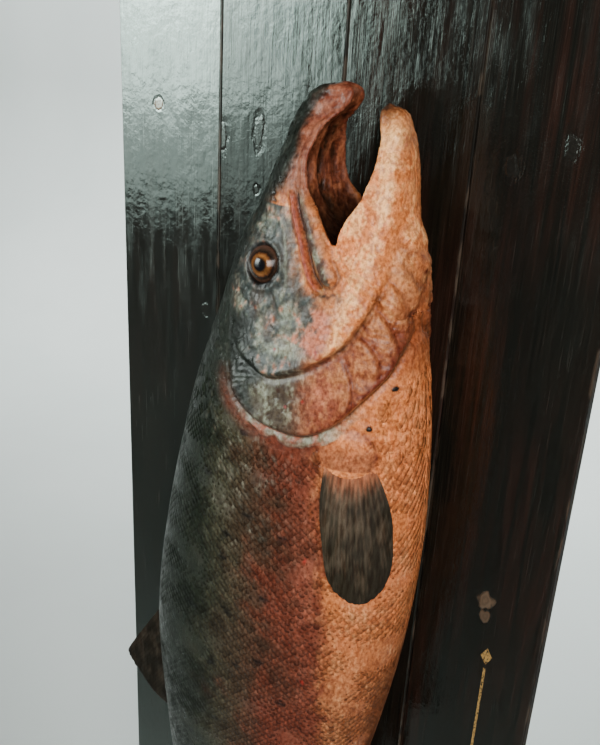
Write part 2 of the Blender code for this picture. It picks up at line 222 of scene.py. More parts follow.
HALF_WIDTH = line((
    (0, 0.35), (0.35, 0.85), (0.9, 1.12), (2.0, 1.3), (3.1, 1.95), (4.2, 2.55), (7.1, 3.1), (12.5, 4.35),
    (20, 5.4),
    (28, 5.6), (40, 5.8), (51, 5.55), (64, 4.5), (80, 2.75), (88, 2.0), (92, 1.4), (95.6, 0.35),
))
LIP_LINE = line((
    (0, 3.8), (0.5, 4.35), (1.2, 4.3), (1.9, 3.75), (2.6, 3.0), (3.6, 2.62), (6.4, 2.62), (8.8, 4.05),
    (10, 5.05),
))
PALATE_DEPTH = line(((0, 0.15), (1.5, 0.4), (4, 1.0), (7, 1.5), (10, 1.3), (12.2, 0.05)))
JAW_BACK_LINE = line(((1.15, 6.2), (3.5, 5.9), (6.6, 4.0), (8.3, 2.0), (10, -3.2)))
JAW_BELLY_LINE = line(((1.15, 6.95), (1.6, 7.6), (2.4, 8.2), (3.5, 8.65), (6.6, 9.12), (10, 9.85)))
JAW_WIDEST_LINE = line(((1.15, 6.65), (3.5, 6.7), (6.6, 5.6), (10, 3.0)))
JAW_HALF_WIDTH = line(((1.15, 0.35), (1.6, 0.85), (2.4, 1.15), (3.5, 1.6), (6.6, 2.75), (10, 3.82)))
JAW_EDGE = line(((1.15, 6.35), (1.7, 6.22), (2.5, 6.5), (3.6, 6.74), (6.6, 6.32), (10, 5.2), (14.2, 10.15)))
FLOOR_DEPTH = line(((1.15, 0.1), (3.5, 0.9), (7, 1.5), (10, 1.2), (12.2, 0.05)))
BOARD_SIDE_SWELL = line(((24, 0.0), (33, 1.0), (56, 1.0), (70, 0.0)))
OVAL_POWER = 2.2
BODY_LINES = (BACK_LINE, WIDEST_LINE, BELLY_LINE, HALF_WIDTH)
JAW_LINES = (JAW_BACK_LINE, JAW_WIDEST_LINE, JAW_BELLY_LINE, JAW_HALF_WIDTH)
SNOUT_CAP = 0.5
JAW_CAP = 1.6
JAW_TIP = 1.1
JAW_CORNER = 10.0
JAW_END = 14.2
JAW_JOIN = 9.3
JAW_JOIN_LENGTH = 1.7
LIP_ROUNDING = 0.22
BOARD_ROUNDING = 0.5
TAIL_CAP = 94.8
TAIL_END = 95.6
SCALES_START = 24.0
COAT_DEPTH = 0.05

EYE_PLACE = (-0.08, 12.0)
EYE_RIM = 1.42
SOCKET_SINK = 0.15
SOCKET_DEPTH = 0.75
SOCKET_ROUNDING = 0.12

# Lines on the flank, as (x, s) points
PREOPERCLE = Stroke(
    (-1.9, 17.2), (-1.3, 18.0), (0, 18.75), (1.4, 19.2), (3.4, 18.6), (5.3, 17.4), (6.6, 16.2), (7.8, 14.1),
    (8.6, 11.6), (8.85, 10.2),
)
OPERCLE = Stroke(
    (-2.0, 19.0), (-1.3, 21.2), (0.7, 22.6), (2.3, 22.95), (4.6, 22.95), (6.2, 22.1), (8.4, 19.6),
    (9.5, 18.0), (10.0, 16.3), (10.3, 14.4),
)
SUBOPERCLE = Stroke((6.3, 16.4), (7.08, 17.6), (7.6, 19.1), (7.45, 20.6), (6.9, 21.6))
GILL_FOLDS = (
    Stroke((8.5, 11.5), (9.2, 12.3), (9.94, 13.85), (10.15, 15.2)),
    Stroke((7.75, 13.2), (8.87, 14.35), (9.63, 15.9), (9.85, 17.3)),
    Stroke((7.0, 15.2), (8.1, 15.95), (8.9, 17.3), (9.0, 18.6)),
    Stroke((9.2, 10.5), (10.07, 12.0), (10.4, 13.7)),
)
THROAT_FLAP = Stroke((8.44, 9.2), (9.37, 9.9), (10.2, 11.3), (10.45, 13.0), (10.48, 14.3))
JAW_CREST = Stroke(
    (6.75, 1.4), (7.3, 2.0), (7.65, 3.6), (7.9, 5.9), (7.9, 7.6), (7.55, 10.6), (6.75, 13.5), (5.9, 16.3)
)
MAXILLA = Stroke((2.3, 6.9), (2.62, 7.6), (3.2, 8.6), (3.9, 9.9), (4.6, 11.0), (5.1, 11.9))
MAXILLA_RADIUS = 0.62
MAXILLA_GROOVE = Stroke(
    (1.75, 6.7), (2.05, 7.5), (2.5, 8.6), (3.1, 9.8), (3.6, 11.0), (4.25, 12.15), (4.95, 12.8)
)
CHEEK_RIDGE = Stroke((1.4, 9.6), (1.8, 11.2), (2.05, 12.7), (1.9, 14.2))
CHEEK_CREASE = Stroke((0.9, 13.6), (1.4, 14.4), (1.7, 15.6))
THROAT_SLIT = Stroke((10.2, 13.7), (10.42, 14.6), (10.5, 15.5), (10.35, 16.3))
PECTORAL_BASE = (7.7, 23.9)
BEADS = ((10.0, 19.0), (8.9, 21.75))
BEAD_RADIUS = 0.2
NOSTRILS = ((-0.1, 7.3), (0.12, 7.75))

# Lines that part one colour from another, as x along s
CAP_EDGE = line((
    (-0.1, 3.0), (1.1, 2.2), (2.1, 1.75), (3.3, 1.5), (4.2, 1.6), (5.6, 1.3), (7.1, 0.45), (8.2, -0.3),
    (9.25, -1.1),
    (11.4, -2.0), (13.0, -2.4), (14.6, -2.3), (15.4, -1.7), (16.5, -0.5), (17.9, 0.4), (18.7, 1.0),
    (19.6, 0.9),
    (20.4, 0.5), (21.4, 0.6), (22.6, 0.9),
))
RUST_EDGE = line((
    (6.8, 0.6), (7.6, 1.2), (8.6, 2.0), (11.1, 2.9), (12.6, 3.6), (13.4, 4.5), (14.5, 5.4), (16.0, 5.5),
    (17.0, 4.9),
    (18.6, 4.3), (20.4, 4.1), (22.6, 3.6),
))
FLANK_EDGE = line((
    (23.2, 5.95), (25.2, 6.2), (27, 6.25), (31.3, 6.5), (34.2, 6.95), (38, 7.2), (41.5, 7.35), (45.5, 7.2),
    (50, 7.0),
    (56, 6.4), (62, 5.3), (70, 3.4), (78, 1.6), (86, 0.3), (95, 0.2),
))
LATERAL_LINE = line(
    ((18, -1.3), (23.6, -1.2), (30, -0.9), (40, -0.9), (52, -1.2), (66, -1.8), (80, -2.3), (94, -2.4))
)


def beyond(edge, x, s):
    """How far a place is off a line of x along s, positive towards the belly."""
    slope = (edge(s + 0.05) - edge(s - 0.05)) / 0.1
    return (x - edge(s)) / np.hypot(1, slope)


def oval_field(lines, x, y, s, first=None, last=None):
    """Roughly how far (x, y, s) is outside a body of oval sections, with rounded ends before first and after
    last."""
    back, widest, belly, half = (read(s) for read in lines)
    reach = np.where(x < widest, widest - back, belly - widest)
    power = (np.abs(x - widest) / reach) ** OVAL_POWER + (np.abs(y) / half) ** OVAL_POWER
    away = (x - widest) ** 2 + y**2
    for end, tip in (end for end in (first, last) if end):
        past = np.maximum((s - end) * math.copysign(1, tip - end), 0)
        power = power + (past / abs(tip - end)) ** OVAL_POWER
        away = away + past**2
    ratio = np.maximum(power, 1e-6) ** (1 / OVAL_POWER)
    return np.sqrt(away) * (1 - 1 / ratio)


def width_at(lines, x, s):
    """Half the width of a body of oval sections at height x of section s."""
    back, widest, belly, half = (read(s) for read in lines)
    reach = np.where(x < widest, widest - back, belly - widest)
    return half * np.clip(1 - (np.abs(x - widest) / reach) ** OVAL_POWER, 0, None) ** (1 / OVAL_POWER)


def to_board(y, s):
    """y as the round body had it, before the board side swelled out to lie on the board."""
    half = HALF_WIDTH(s)
    return np.where(y < 0, y * half / (half + BOARD_SIDE_SWELL(s)), y)


def jaw_blend(s):
    """0 where the lower jaw has its own section, 1 where it has the whole body's."""
    share = np.clip((s - JAW_JOIN) / JAW_JOIN_LENGTH, 0, 1)
    return share * share * (3 - 2 * share)


def split_line(s):
    """The height at which section s is split between the head and the lower jaw."""
    return np.where(s < JAW_CORNER, LIP_LINE(s), JAW_EDGE(s))


def vault(y, rim):
    """1 in the middle of the mouth, falling to 0 at its rim."""
    across = np.clip(np.abs(y) / np.maximum(rim, 0.2), 0, 1.2)
    return 1 - across**2


def palate_ridge(y, s):
    """The ridge down the middle of the palate, with a groove on each side."""
    fade = bell(s - 6.0, 3.2)
    return fade * (0.45 * bell(y, 0.42) - 0.22 * bell(np.abs(y) - 1.0, 0.35))


def fish_field(x, y, s):
    """Below zero inside the flesh. The arguments broadcast, so it takes a grid or a list of points."""
    round_y = to_board(y, s)
    body = oval_field(BODY_LINES, x, round_y, s, (SNOUT_CAP, 0.0), (TAIL_CAP, TAIL_END))
    own_jaw = oval_field(JAW_LINES, x, y, s, (JAW_CAP, JAW_TIP))
    blend = jaw_blend(s)
    jaw = own_jaw * (1 - blend) + body * blend
    split = split_line(s)
    palate = PALATE_DEPTH(s) * vault(y, width_at(BODY_LINES, split, s)) - palate_ridge(y, s)
    rim = width_at(JAW_LINES, JAW_EDGE(s), s) * (1 - blend) + width_at(BODY_LINES, JAW_EDGE(s), s) * blend
    floor = FLOOR_DEPTH(s) * vault(y, rim)
    head = smooth_max(body, x - split + palate, LIP_ROUNDING)
    jaw = smooth_max(jaw, JAW_EDGE(s) + floor - x, LIP_ROUNDING)
    behind = np.clip((s - 9.0) / 2.5, 0, 1)
    whole = smooth_min(head, jaw, 0.25 + 0.7 * behind)
    whole = np.where(s > JAW_END, body, whole)
    return smooth_max(whole, -BOARD_SIDE - y, BOARD_ROUNDING)


# ---------------------------------------------------------------------------------------------------------
# From a field to a mesh
# ---------------------------------------------------------------------------------------------------------

EDGES = [(axis, corner) for axis in range(3) for corner in np.ndindex(2, 2, 2) if corner[axis] == 0]


def surface_net(field, axes, slab=24):
    """Vertices and quads of the field's zero surface on a grid with the given coordinates along each axis."""
    xs, ys, ss = axes
    values = np.empty((len(xs), len(ys), len(ss)), np.float32)
    for k in range(0, len(ss), slab):
        part = ss[k : k + slab]
        values[:, :, k : k + slab] = field(xs[:, None, None], ys[None, :, None], part[None, None, :])
    inside = values < 0
    count = np.zeros([n - 1 for n in values.shape], np.int8)
    for i, j, k in np.ndindex(2, 2, 2):
        count += inside[i : i + len(xs) - 1, j : j + len(ys) - 1, k : k + len(ss) - 1]
    active = (count > 0) & (count < 8)
    cells = np.argwhere(active)
    index = np.full(active.shape, -1, np.int32)
    index[active] = np.arange(len(cells))
    total = np.zeros((len(cells), 3))
    crossings = np.zeros(len(cells))
    for axis, corner in EDGES:
        start = cells + corner
        end = start.copy()
        end[:, axis] += 1
        a = values[tuple(start.T)]
        b = values[tuple(end.T)]
        crossed = (a < 0) != (b < 0)
        share = a[crossed] / (a[crossed] - b[crossed])
        place = np.stack([axes[n][start[crossed, n]] for n in range(3)], axis=1)
        place[:, axis] += share * (axes[axis][end[crossed, axis]] - axes[axis][start[crossed, axis]])
        total[crossed] += place
        crossings[crossed] += 1
    vertices = total / crossings[:, None]
    quads = []
    for axis in range(3):
        b, c = (axis + 1) % 3, (axis + 2) % 3
        start = [slice(1, -1)] * 3
        end = [slice(1, -1)] * 3
        start[axis] = slice(0, -1)
        end[axis] = slice(1, None)
        first = inside[tuple(start)]
        second = inside[tuple(end)]
        for leaving in (True, False):
            found = np.argwhere((first & ~second) if leaving else (~first & second))
            base = found + 1
            base[:, axis] -= 1
            corners = []
            for db, dc in ((-1, -1), (0, -1), (0, 0), (-1, 0)):
                cell = base.copy()
                cell[:, b] += db
                cell[:, c] += dc
                corners.append(index[tuple(cell.T)])
            quad = np.stack(corners, axis=1)
            quads.append(quad if leaving else quad[:, ::-1])
    return vertices, np.concatenate(quads)


def field_normals(field, points, step=0.02):
    gradient = np.empty_like(points)
    for axis in range(3):
        shift = np.zeros(3)
        shift[axis] = step
        ahead = field(*(points + shift).T)
        behind = field(*(points - shift).T)
        gradient[:, axis] = (ahead - behind) / (2 * step)
    return gradient


def project(field, points, rounds=3):
    """The points moved onto the field's zero surface, and the surface's outward normals there."""
    for _ in range(rounds):
        gradient = field_normals(field, points)
        steep = np.maximum((gradient**2).sum(axis=1), 0.05)
        points = points - gradient * (field(*points.T) / steep)[:, None]
    gradient = field_normals(field, points)
    return points, gradient / np.maximum(np.linalg.norm(gradient, axis=1, keepdims=True), 1e-6)


def mesh_object(name, vertices, faces, smooth=True):
    """A mesh object from world-space vertices and an (n, 3) or (n, 4) array of faces, smooth as told for all
    or each."""
    mesh = bpy.data.meshes.new(name)
    mesh.vertices.add(len(vertices))
    mesh.vertices.foreach_set("co", np.asarray(vertices, np.float32).ravel())
    sides = faces.shape[1]
    mesh.loops.add(faces.size)
    mesh.loops.foreach_set("vertex_index", np.asarray(faces, np.int32).ravel())
    mesh.polygons.add(len(faces))
    mesh.polygons.foreach_set("loop_start", np.arange(0, faces.size, sides, dtype=np.int32))
    mesh.update(calc_edges=True)
    mesh.polygons.foreach_set("use_smooth", np.ones(len(faces), bool) & smooth)
    obj = bpy.data.objects.new(name, mesh)
    bpy.context.scene.collection.objects.link(obj)
    return obj


def set_colours(obj, name, colours, shine=1.0):
    """Linear RGB for each vertex, as a colour attribute, and in its alpha how much of the finish's shine it
    has."""
    layer = obj.data.color_attributes.new(name, "FLOAT_COLOR", "POINT")
    rgba = np.ones((len(colours), 4), np.float32)
    rgba[:, :3] = np.clip(colours, 0, 1)
    rgba[:, 3] = shine
    layer.data.foreach_set("color", rgba.ravel())


# ---------------------------------------------------------------------------------------------------------
# Relief: how far the skin stands out of the smooth form, in centimetres
# ---------------------------------------------------------------------------------------------------------


def plate_step(offset, height, reach, edge=0.06):
    """A plate on the positive side of a line: raised at the line and settling over reach."""
    return height * sigmoid(offset / edge) * np.exp(-np.maximum(offset, 0) / reach)


def end_fade(along, length=0.07):
    return np.clip(np.minimum(along, 1 - along) / length, 0, 1)


def on_outside(points):
    """1 on the outside of the head and body, falling to 0 inside the mouth."""
    x, y, s = points.T
    body = oval_field(BODY_LINES, x, to_board(y, s), s, (SNOUT_CAP, 0.0))
    blend = jaw_blend(s)
    jaw = oval_field(JAW_LINES, x, y, s, (JAW_CAP, JAW_TIP)) * (1 - blend) + body * blend
    off_body = np.abs(body) + np.maximum(x - split_line(s) - 0.3, 0) * (s < JAW_CORNER)
    off_jaw = np.abs(jaw) + np.maximum(JAW_EDGE(s) - 0.3 - x, 0)
    nearest = np.minimum(off_body, off_jaw) / (0.22 + 0.35 * np.clip((s - 9.0) / 2, 0, 1))
    return np.where(s > 13.2, 1.0, np.exp(-(nearest**2)))


def fin_root(x, s):
    """0 in the middle of the pectoral fin's fleshy root and 1 at its edge."""
    return np.hypot((x - PECTORAL_BASE[0]) / 1.6, (s - PECTORAL_BASE[1]) / 1.7)


def maxilla_lobe(x, s):
    """From 1 along the maxilla's axis to 0 at its rounded edge, and below 0 outside it."""
    offset, _ = MAXILLA.off(x, s)
    return 1 - np.abs(offset) / MAXILLA_RADIUS


def fringe_share(points, offset, along):
    """1 on the ragged membrane that shows behind the gill cover."""
    ragged = 0.62 + 0.34 * noise(points, 0.9, 4) + 0.16 * noise(points, 0.3, 6)
    fringe = sigmoid((ragged + offset + 0.2) / 0.07) * sigmoid((-offset - 0.16) / 0.08)
    return fringe * np.clip((0.70 - along) / 0.2, 0, 1) * np.clip((along - 0.14) / 0.1, 0, 1)


def bumps(points):
    """The uneven modelling of the head, which the paint follows, with painted highlight on its crests and
    painted shade in its hollows.
    """
    return mottle(points, 0.75, 3, 11)


# Folds of skin: the line of each, the side it stands on, its height, reach and edge, and the depth and width
# of the groove beside it
FOLD_SHAPES = (
    (SUBOPERCLE, -1, 0.22, 0.6, 0.12, 0.10, 0.18),
    *((fold, -1, 0.34, 0.55, 0.13, 0.12, 0.2) for fold in GILL_FOLDS),
    (THROAT_FLAP, 1, 0.28, 0.9, 0.13, 0.12, 0.2),
)


def relief(points):
    """How far the skin stands out of the smooth form at each point."""
    x, y, s = points.T
    outside = on_outside(points)
    height = np.zeros(len(x))

    offset, along = PREOPERCLE.off(x, s)
    fade = end_fade(along, 0.2)
    height += 0.52 * sigmoid(offset / 0.16) * np.exp(-np.maximum(offset, 0) / 1.2) * fade
    height -= 0.14 * bell(offset + 0.25, 0.25) * fade

    offset, along = OPERCLE.off(x, s)
    fade = end_fade(along, 0.1)
    height += plate_step(offset, 0.35, 2.2, 0.11) * fade
    height -= 0.14 * bell(offset + 0.2, 0.2) * fade
    height += 0.16 * fringe_share(points, offset, along) * (1 + noise(points, (0.3, 0.3, 0.9), 14))

    for fold, towards, rise, reach, edge, dip, width in FOLD_SHAPES:
        offset, along = fold.off(x, s)
        step = plate_step(towards * offset, rise, reach, edge) - dip * bell(offset, width)
        height += step * end_fade(along, 0.2)
    height += 0.20 * JAW_CREST.band(x, s, 0.62) * (1 + 0.8 * noise(points, 1.1, 16))
    height -= 0.16 * JAW_CREST.band(x, s, 0.50, 1.25)

    lobe = maxilla_lobe(x, s)
    height += 0.44 * np.sqrt(np.clip(lobe, 0, 1)) * sigmoid((s - 7.3) / 0.5)
    groove, along = MAXILLA_GROOVE.off(x, s)
    fade = end_fade(along, 0.05)
    height -= 0.36 * bell(groove, 0.15) * fade
    height += 0.24 * bell(groove + 0.36, 0.22) * fade

    height += 0.05 * CHEEK_RIDGE.band(x, s, 0.10)
    height -= 0.08 * CHEEK_CREASE.band(x, s, 0.14)
    height -= 0.35 * THROAT_SLIT.band(x, s, 0.12)

    lip = split_line(s) - x
    before_corner = sigmoid((8.4 - s) / 0.6) * sigmoid((s - 0.6) / 0.3)
    height += 0.13 * bell(lip - 0.28, 0.24) * before_corner * (0.75 + 0.5 * noise(points, 0.55, 8))
    height -= 0.07 * bell(lip - 0.8, 0.2) * before_corner
    knob = np.exp(-((s - 0.7) ** 2)) * (x < 5.2)
    height += 0.12 * knob * layered_noise(points, 0.55, 2, 19)

    from_eye = np.hypot(x - EYE_PLACE[0], s - EYE_PLACE[1])
    height += 0.07 * bell(from_eye - EYE_RIM - 0.22, 0.2)
    height -= 0.03 * bell(from_eye - EYE_RIM - 0.75, 0.3)
    for nostril_x, nostril_s in NOSTRILS:
        height -= 0.14 * np.exp(-(((x - nostril_x) ** 2 + (s - nostril_s) ** 2) / 0.14**2))

    height += 0.30 * sigmoid((1 - fin_root(x, s)) / 0.25)
    for bead_x, bead_s in BEADS:
        bead = ((x - bead_x) ** 2 + (s - bead_s) ** 2) / BEAD_RADIUS**2
        height += np.where(y > 0, 0.13 * np.sqrt(np.clip(1 - bead, 0, 1)), 0)

    head = sigmoid((22.5 - s) / 2.5)
    height += head * 0.075 * bumps(points)
    height += head * 0.022 * noise(points, (0.17, 0.17, 0.26), 5)
    lower = sigmoid((x - 4.5) / 0.8) * sigmoid((s - 13) / 1.0)
    height += head * 0.05 * lower * layered_noise(points, (0.8, 0.8, 0.35), 2, 15)
    height += (1 - head) * 0.03 * layered_noise(points, 3.5, 2, 21)
    height *= outside
    height += (1 - outside) * 0.10 * layered_noise(points, (0.28, 0.28, 2.4), 3, 31)
    return height * np.clip((95.3 - s) / 2, 0, 1)


# ---------------------------------------------------------------------------------------------------------
# Paint: colours are linear RGB
# ---------------------------------------------------------------------------------------------------------

# Umber, rust, deep rust and ink also serve as painted shade and shadow, and cream, tan and pale silver as
# painted highlight
CAP = (0.009, 0.0115, 0.0085)
GREEN_GREY = (0.042, 0.050, 0.040)
SILVER = (0.022, 0.030, 0.026)
PALE_SILVER = (0.235, 0.260, 0.190)
BLUE_GREY = (0.026, 0.031, 0.030)
GREY_BROWN = (0.060, 0.034, 0.024)
UMBER = (0.030, 0.014, 0.008)
ORANGE = (0.72, 0.225, 0.070)
TAN = (0.36, 0.140, 0.056)
CREAM = (0.90, 0.47, 0.185)
RUST = (0.50, 0.155, 0.043)
DEEP_RUST = (0.125, 0.024, 0.011)
PINK = (0.44, 0.140, 0.075)
FOLD_RED = (0.24, 0.042, 0.026)
SNOUT_RED = (0.20, 0.062, 0.033)
SNOUT_ROSE = (0.27, 0.095, 0.052)
PALATE = (0.12, 0.030, 0.014)
PALATE_PALE = (0.27, 0.090, 0.040)
# Painted shade of the mouth's folds, grooves and depths
PALATE_SHADE = (0.018, 0.008, 0.004)
COVER_OLIVE = (0.050, 0.036, 0.022)
COVER_PINK = (0.22, 0.065, 0.032)
COVER_RUST = (0.33, 0.110, 0.040)
BACK_OLIVE = (0.0065, 0.0100, 0.0056)
FLANK_OLIVE = (0.040, 0.041, 0.0245)
FLANK_BROWN = (0.052, 0.026, 0.0150)
FLANK_RED = (0.115, 0.027, 0.0145)
FLANK_PINK = (0.22, 0.066, 0.038)
# Silver of the flank's specks and of its painted sheen
FLANK_SILVER_SHEEN = (0.15, 0.145, 0.11)
BELLY = (0.50, 0.150, 0.050)
BELLY_PALE = (0.60, 0.27, 0.115)
BELLY_BROWN = (0.15, 0.049, 0.022)
DOT_RED = (0.25, 0.012, 0.010)
INK = (0.006, 0.006, 0.006)


def mix(base, colour, share):
    """The base colours with a share of another over them."""
    share = np.clip(np.asarray(share, float), 0, 1)[:, None]
    return base * (1 - share) + np.asarray(colour) * share


def flat(colour, count):
    return np.tile(np.array(colour), (count, 1))


def around(x, s, at_x, at_s, wide, long):
    """1 at a place on the side of the fish, fading over its width and length."""
    return np.exp(-(((x - at_x) / wide) ** 2) - ((s - at_s) / long) ** 2)


def glows(x, s, *spots):
    """Soft spots added up, each given as (strength, x, s, width, length)."""
    return sum(strength * around(x, s, *spot) for strength, *spot in spots)


DARK_SPOTS = (
    (0.41, 30.72), (-1.44, 32.97), (3.45, 31.71), (2.15, 37.46), (-1.17, 39.88), (1.86, 43.59),
    (-0.17, 44.83),
    (-2.59, 45.65), (3.95, 46.93), (-2.22, 51.55), (-1.65, 35.1), (-0.13, 24.07), (-3.6, 28.5), (-4.9, 41.0),
    (-5.2, 55.0), (0.9, 56.5), (-2.9, 61.0), (-0.6, 66.5), (-3.9, 70.5), (-1.9, 75.0), (-3.3, 83.0),
)
HEAD_PAINT_END = 25.0
RED_DOTS = (
    (1.95, 17.3), (5.06, 16.82), (4.43, 20.45), (3.2, 21.1), (3.9, 27.2), (5.3, 33.0), (4.6, 40.5),
    (5.6, 44.2),
)


# Painted highlights on the silver cheek, the glints where its pale silver gathers, as (strength, x, s, width,
# length)
CHEEK_GLINTS = (
    (1, 2.5, 14.9, 0.6, 1.0), (1, 3.4, 16.8, 0.9, 0.8), (0.9, -1.7, 15.2, 0.5, 0.9),
    (1, 0.4, 16.2, 0.45, 1.0), (1, 1.9, 17.4, 1.3, 0.5), (0.7, -0.2, 9.3, 1.0, 0.8),
)


def red_dots(colour, x, s):
    for dot_x, dot_s in RED_DOTS:
        colour = mix(colour, DOT_RED, 0.8 * sigmoid((0.11 - np.hypot(x - dot_x, s - dot_s)) / 0.03))
    return colour


def flank_paint(points, fine):
    x, _, s = points.T
    back, belly, edge = BACK_LINE(s), BELLY_LINE(s), FLANK_EDGE(s)
    share = (x - back) / (edge - back)
    offset = beyond(FLANK_EDGE, x, s)
    clouds = mottle(points, 2.2, 3, 51)
    patches = mottle(points, 0.8, 3, 52)
    specks = layered_noise(points, (0.25, 0.25, 0.5), 3, 53)
    colour = flat(FLANK_BROWN, len(x))
    colour = mix(colour, FLANK_OLIVE, sigmoid((0.60 - share + 0.22 * clouds) / 0.14))
    dark_part = 0.36 + 0.08 * sigmoid((s - 34) / 4)
    darker = 1.5 * (dark_part - share) + 0.20 * clouds + 0.06 * patches
    colour = mix(colour, BACK_OLIVE, sigmoid(darker / 0.12))
    colour = mix(colour, FLANK_RED, sigmoid((share - 0.74 + 0.26 * clouds + 0.08 * patches) / 0.11))
    lit = sigmoid((s - 29) / 4) * bell(offset + 1.2, 1.6)
    colour = mix(colour, FLANK_PINK, lit * (0.45 + 0.9 * patches) * (1 - 0.6 * sigmoid((s - 43) / 2)))
    colour = mix(colour, BACK_OLIVE, 0.6 * np.clip(-1.6 * clouds - 0.25, 0, 1) * sigmoid((0.8 - share) / 0.1))
    # Silver specks over the whole flank, gathered on the upper flank and shoulder into a painted sheen
    silver_and_sheen = bell(s - 27, 6.5) * bell(x + 0.2, 3.6)
    silver_and_sheen = np.maximum(silver_and_sheen, bell(s - 24.5, 3.0) * bell(x + 2.4, 2.4))
    silver_and_sheen = silver_and_sheen * sigmoid((x + 3.9) / 0.5)
    colour = mix(colour, FLANK_SILVER_SHEEN, np.clip(1.6 * specks + 0.3 * fine - 0.25, 0, 1) * (0.9 * silver_and_sheen + 0.10))
    depth = (x - edge) / (belly - edge)
    under = mix(flat(BELLY, len(x)), BELLY_PALE, 0.1 + 0.7 * patches + 0.6 * specks)
    under = mix(under, RUST, np.clip(0.25 + 1.1 * clouds - 0.7 * specks, 0, 0.9))
    under = mix(under, BELLY_BROWN, 0.75 * sigmoid((s - 42 + 4 * clouds) / 6) * (1 - 0.5 * specks))
    under = mix(under, BELLY_PALE, 0.45 * bell(depth - 0.30, 0.22) * sigmoid((s - 38) / 4) * (0.6 + specks))
    under = mix(under, BELLY_BROWN, 0.35 * np.clip(depth - 0.8, 0, 1) / 0.2 * sigmoid((s - 40) / 3))
    breast = sigmoid((31 - s) / 2) * (0.35 + patches)
    under = mix(under, ORANGE, 0.5 * breast)
    colour = mix(colour, under, sigmoid((offset + 0.8 * patches + 0.5 * clouds + 0.5 * specks) / 0.55))
    for spot_x, spot_s in DARK_SPOTS:
        spot = np.hypot((x - spot_x) / 0.55, (s - spot_s) / 0.32) + 0.3 * fine
        colour = mix(colour, INK, 0.9 * sigmoid((0.8 - spot) / 0.2))
    return red_dots(colour, x, s)


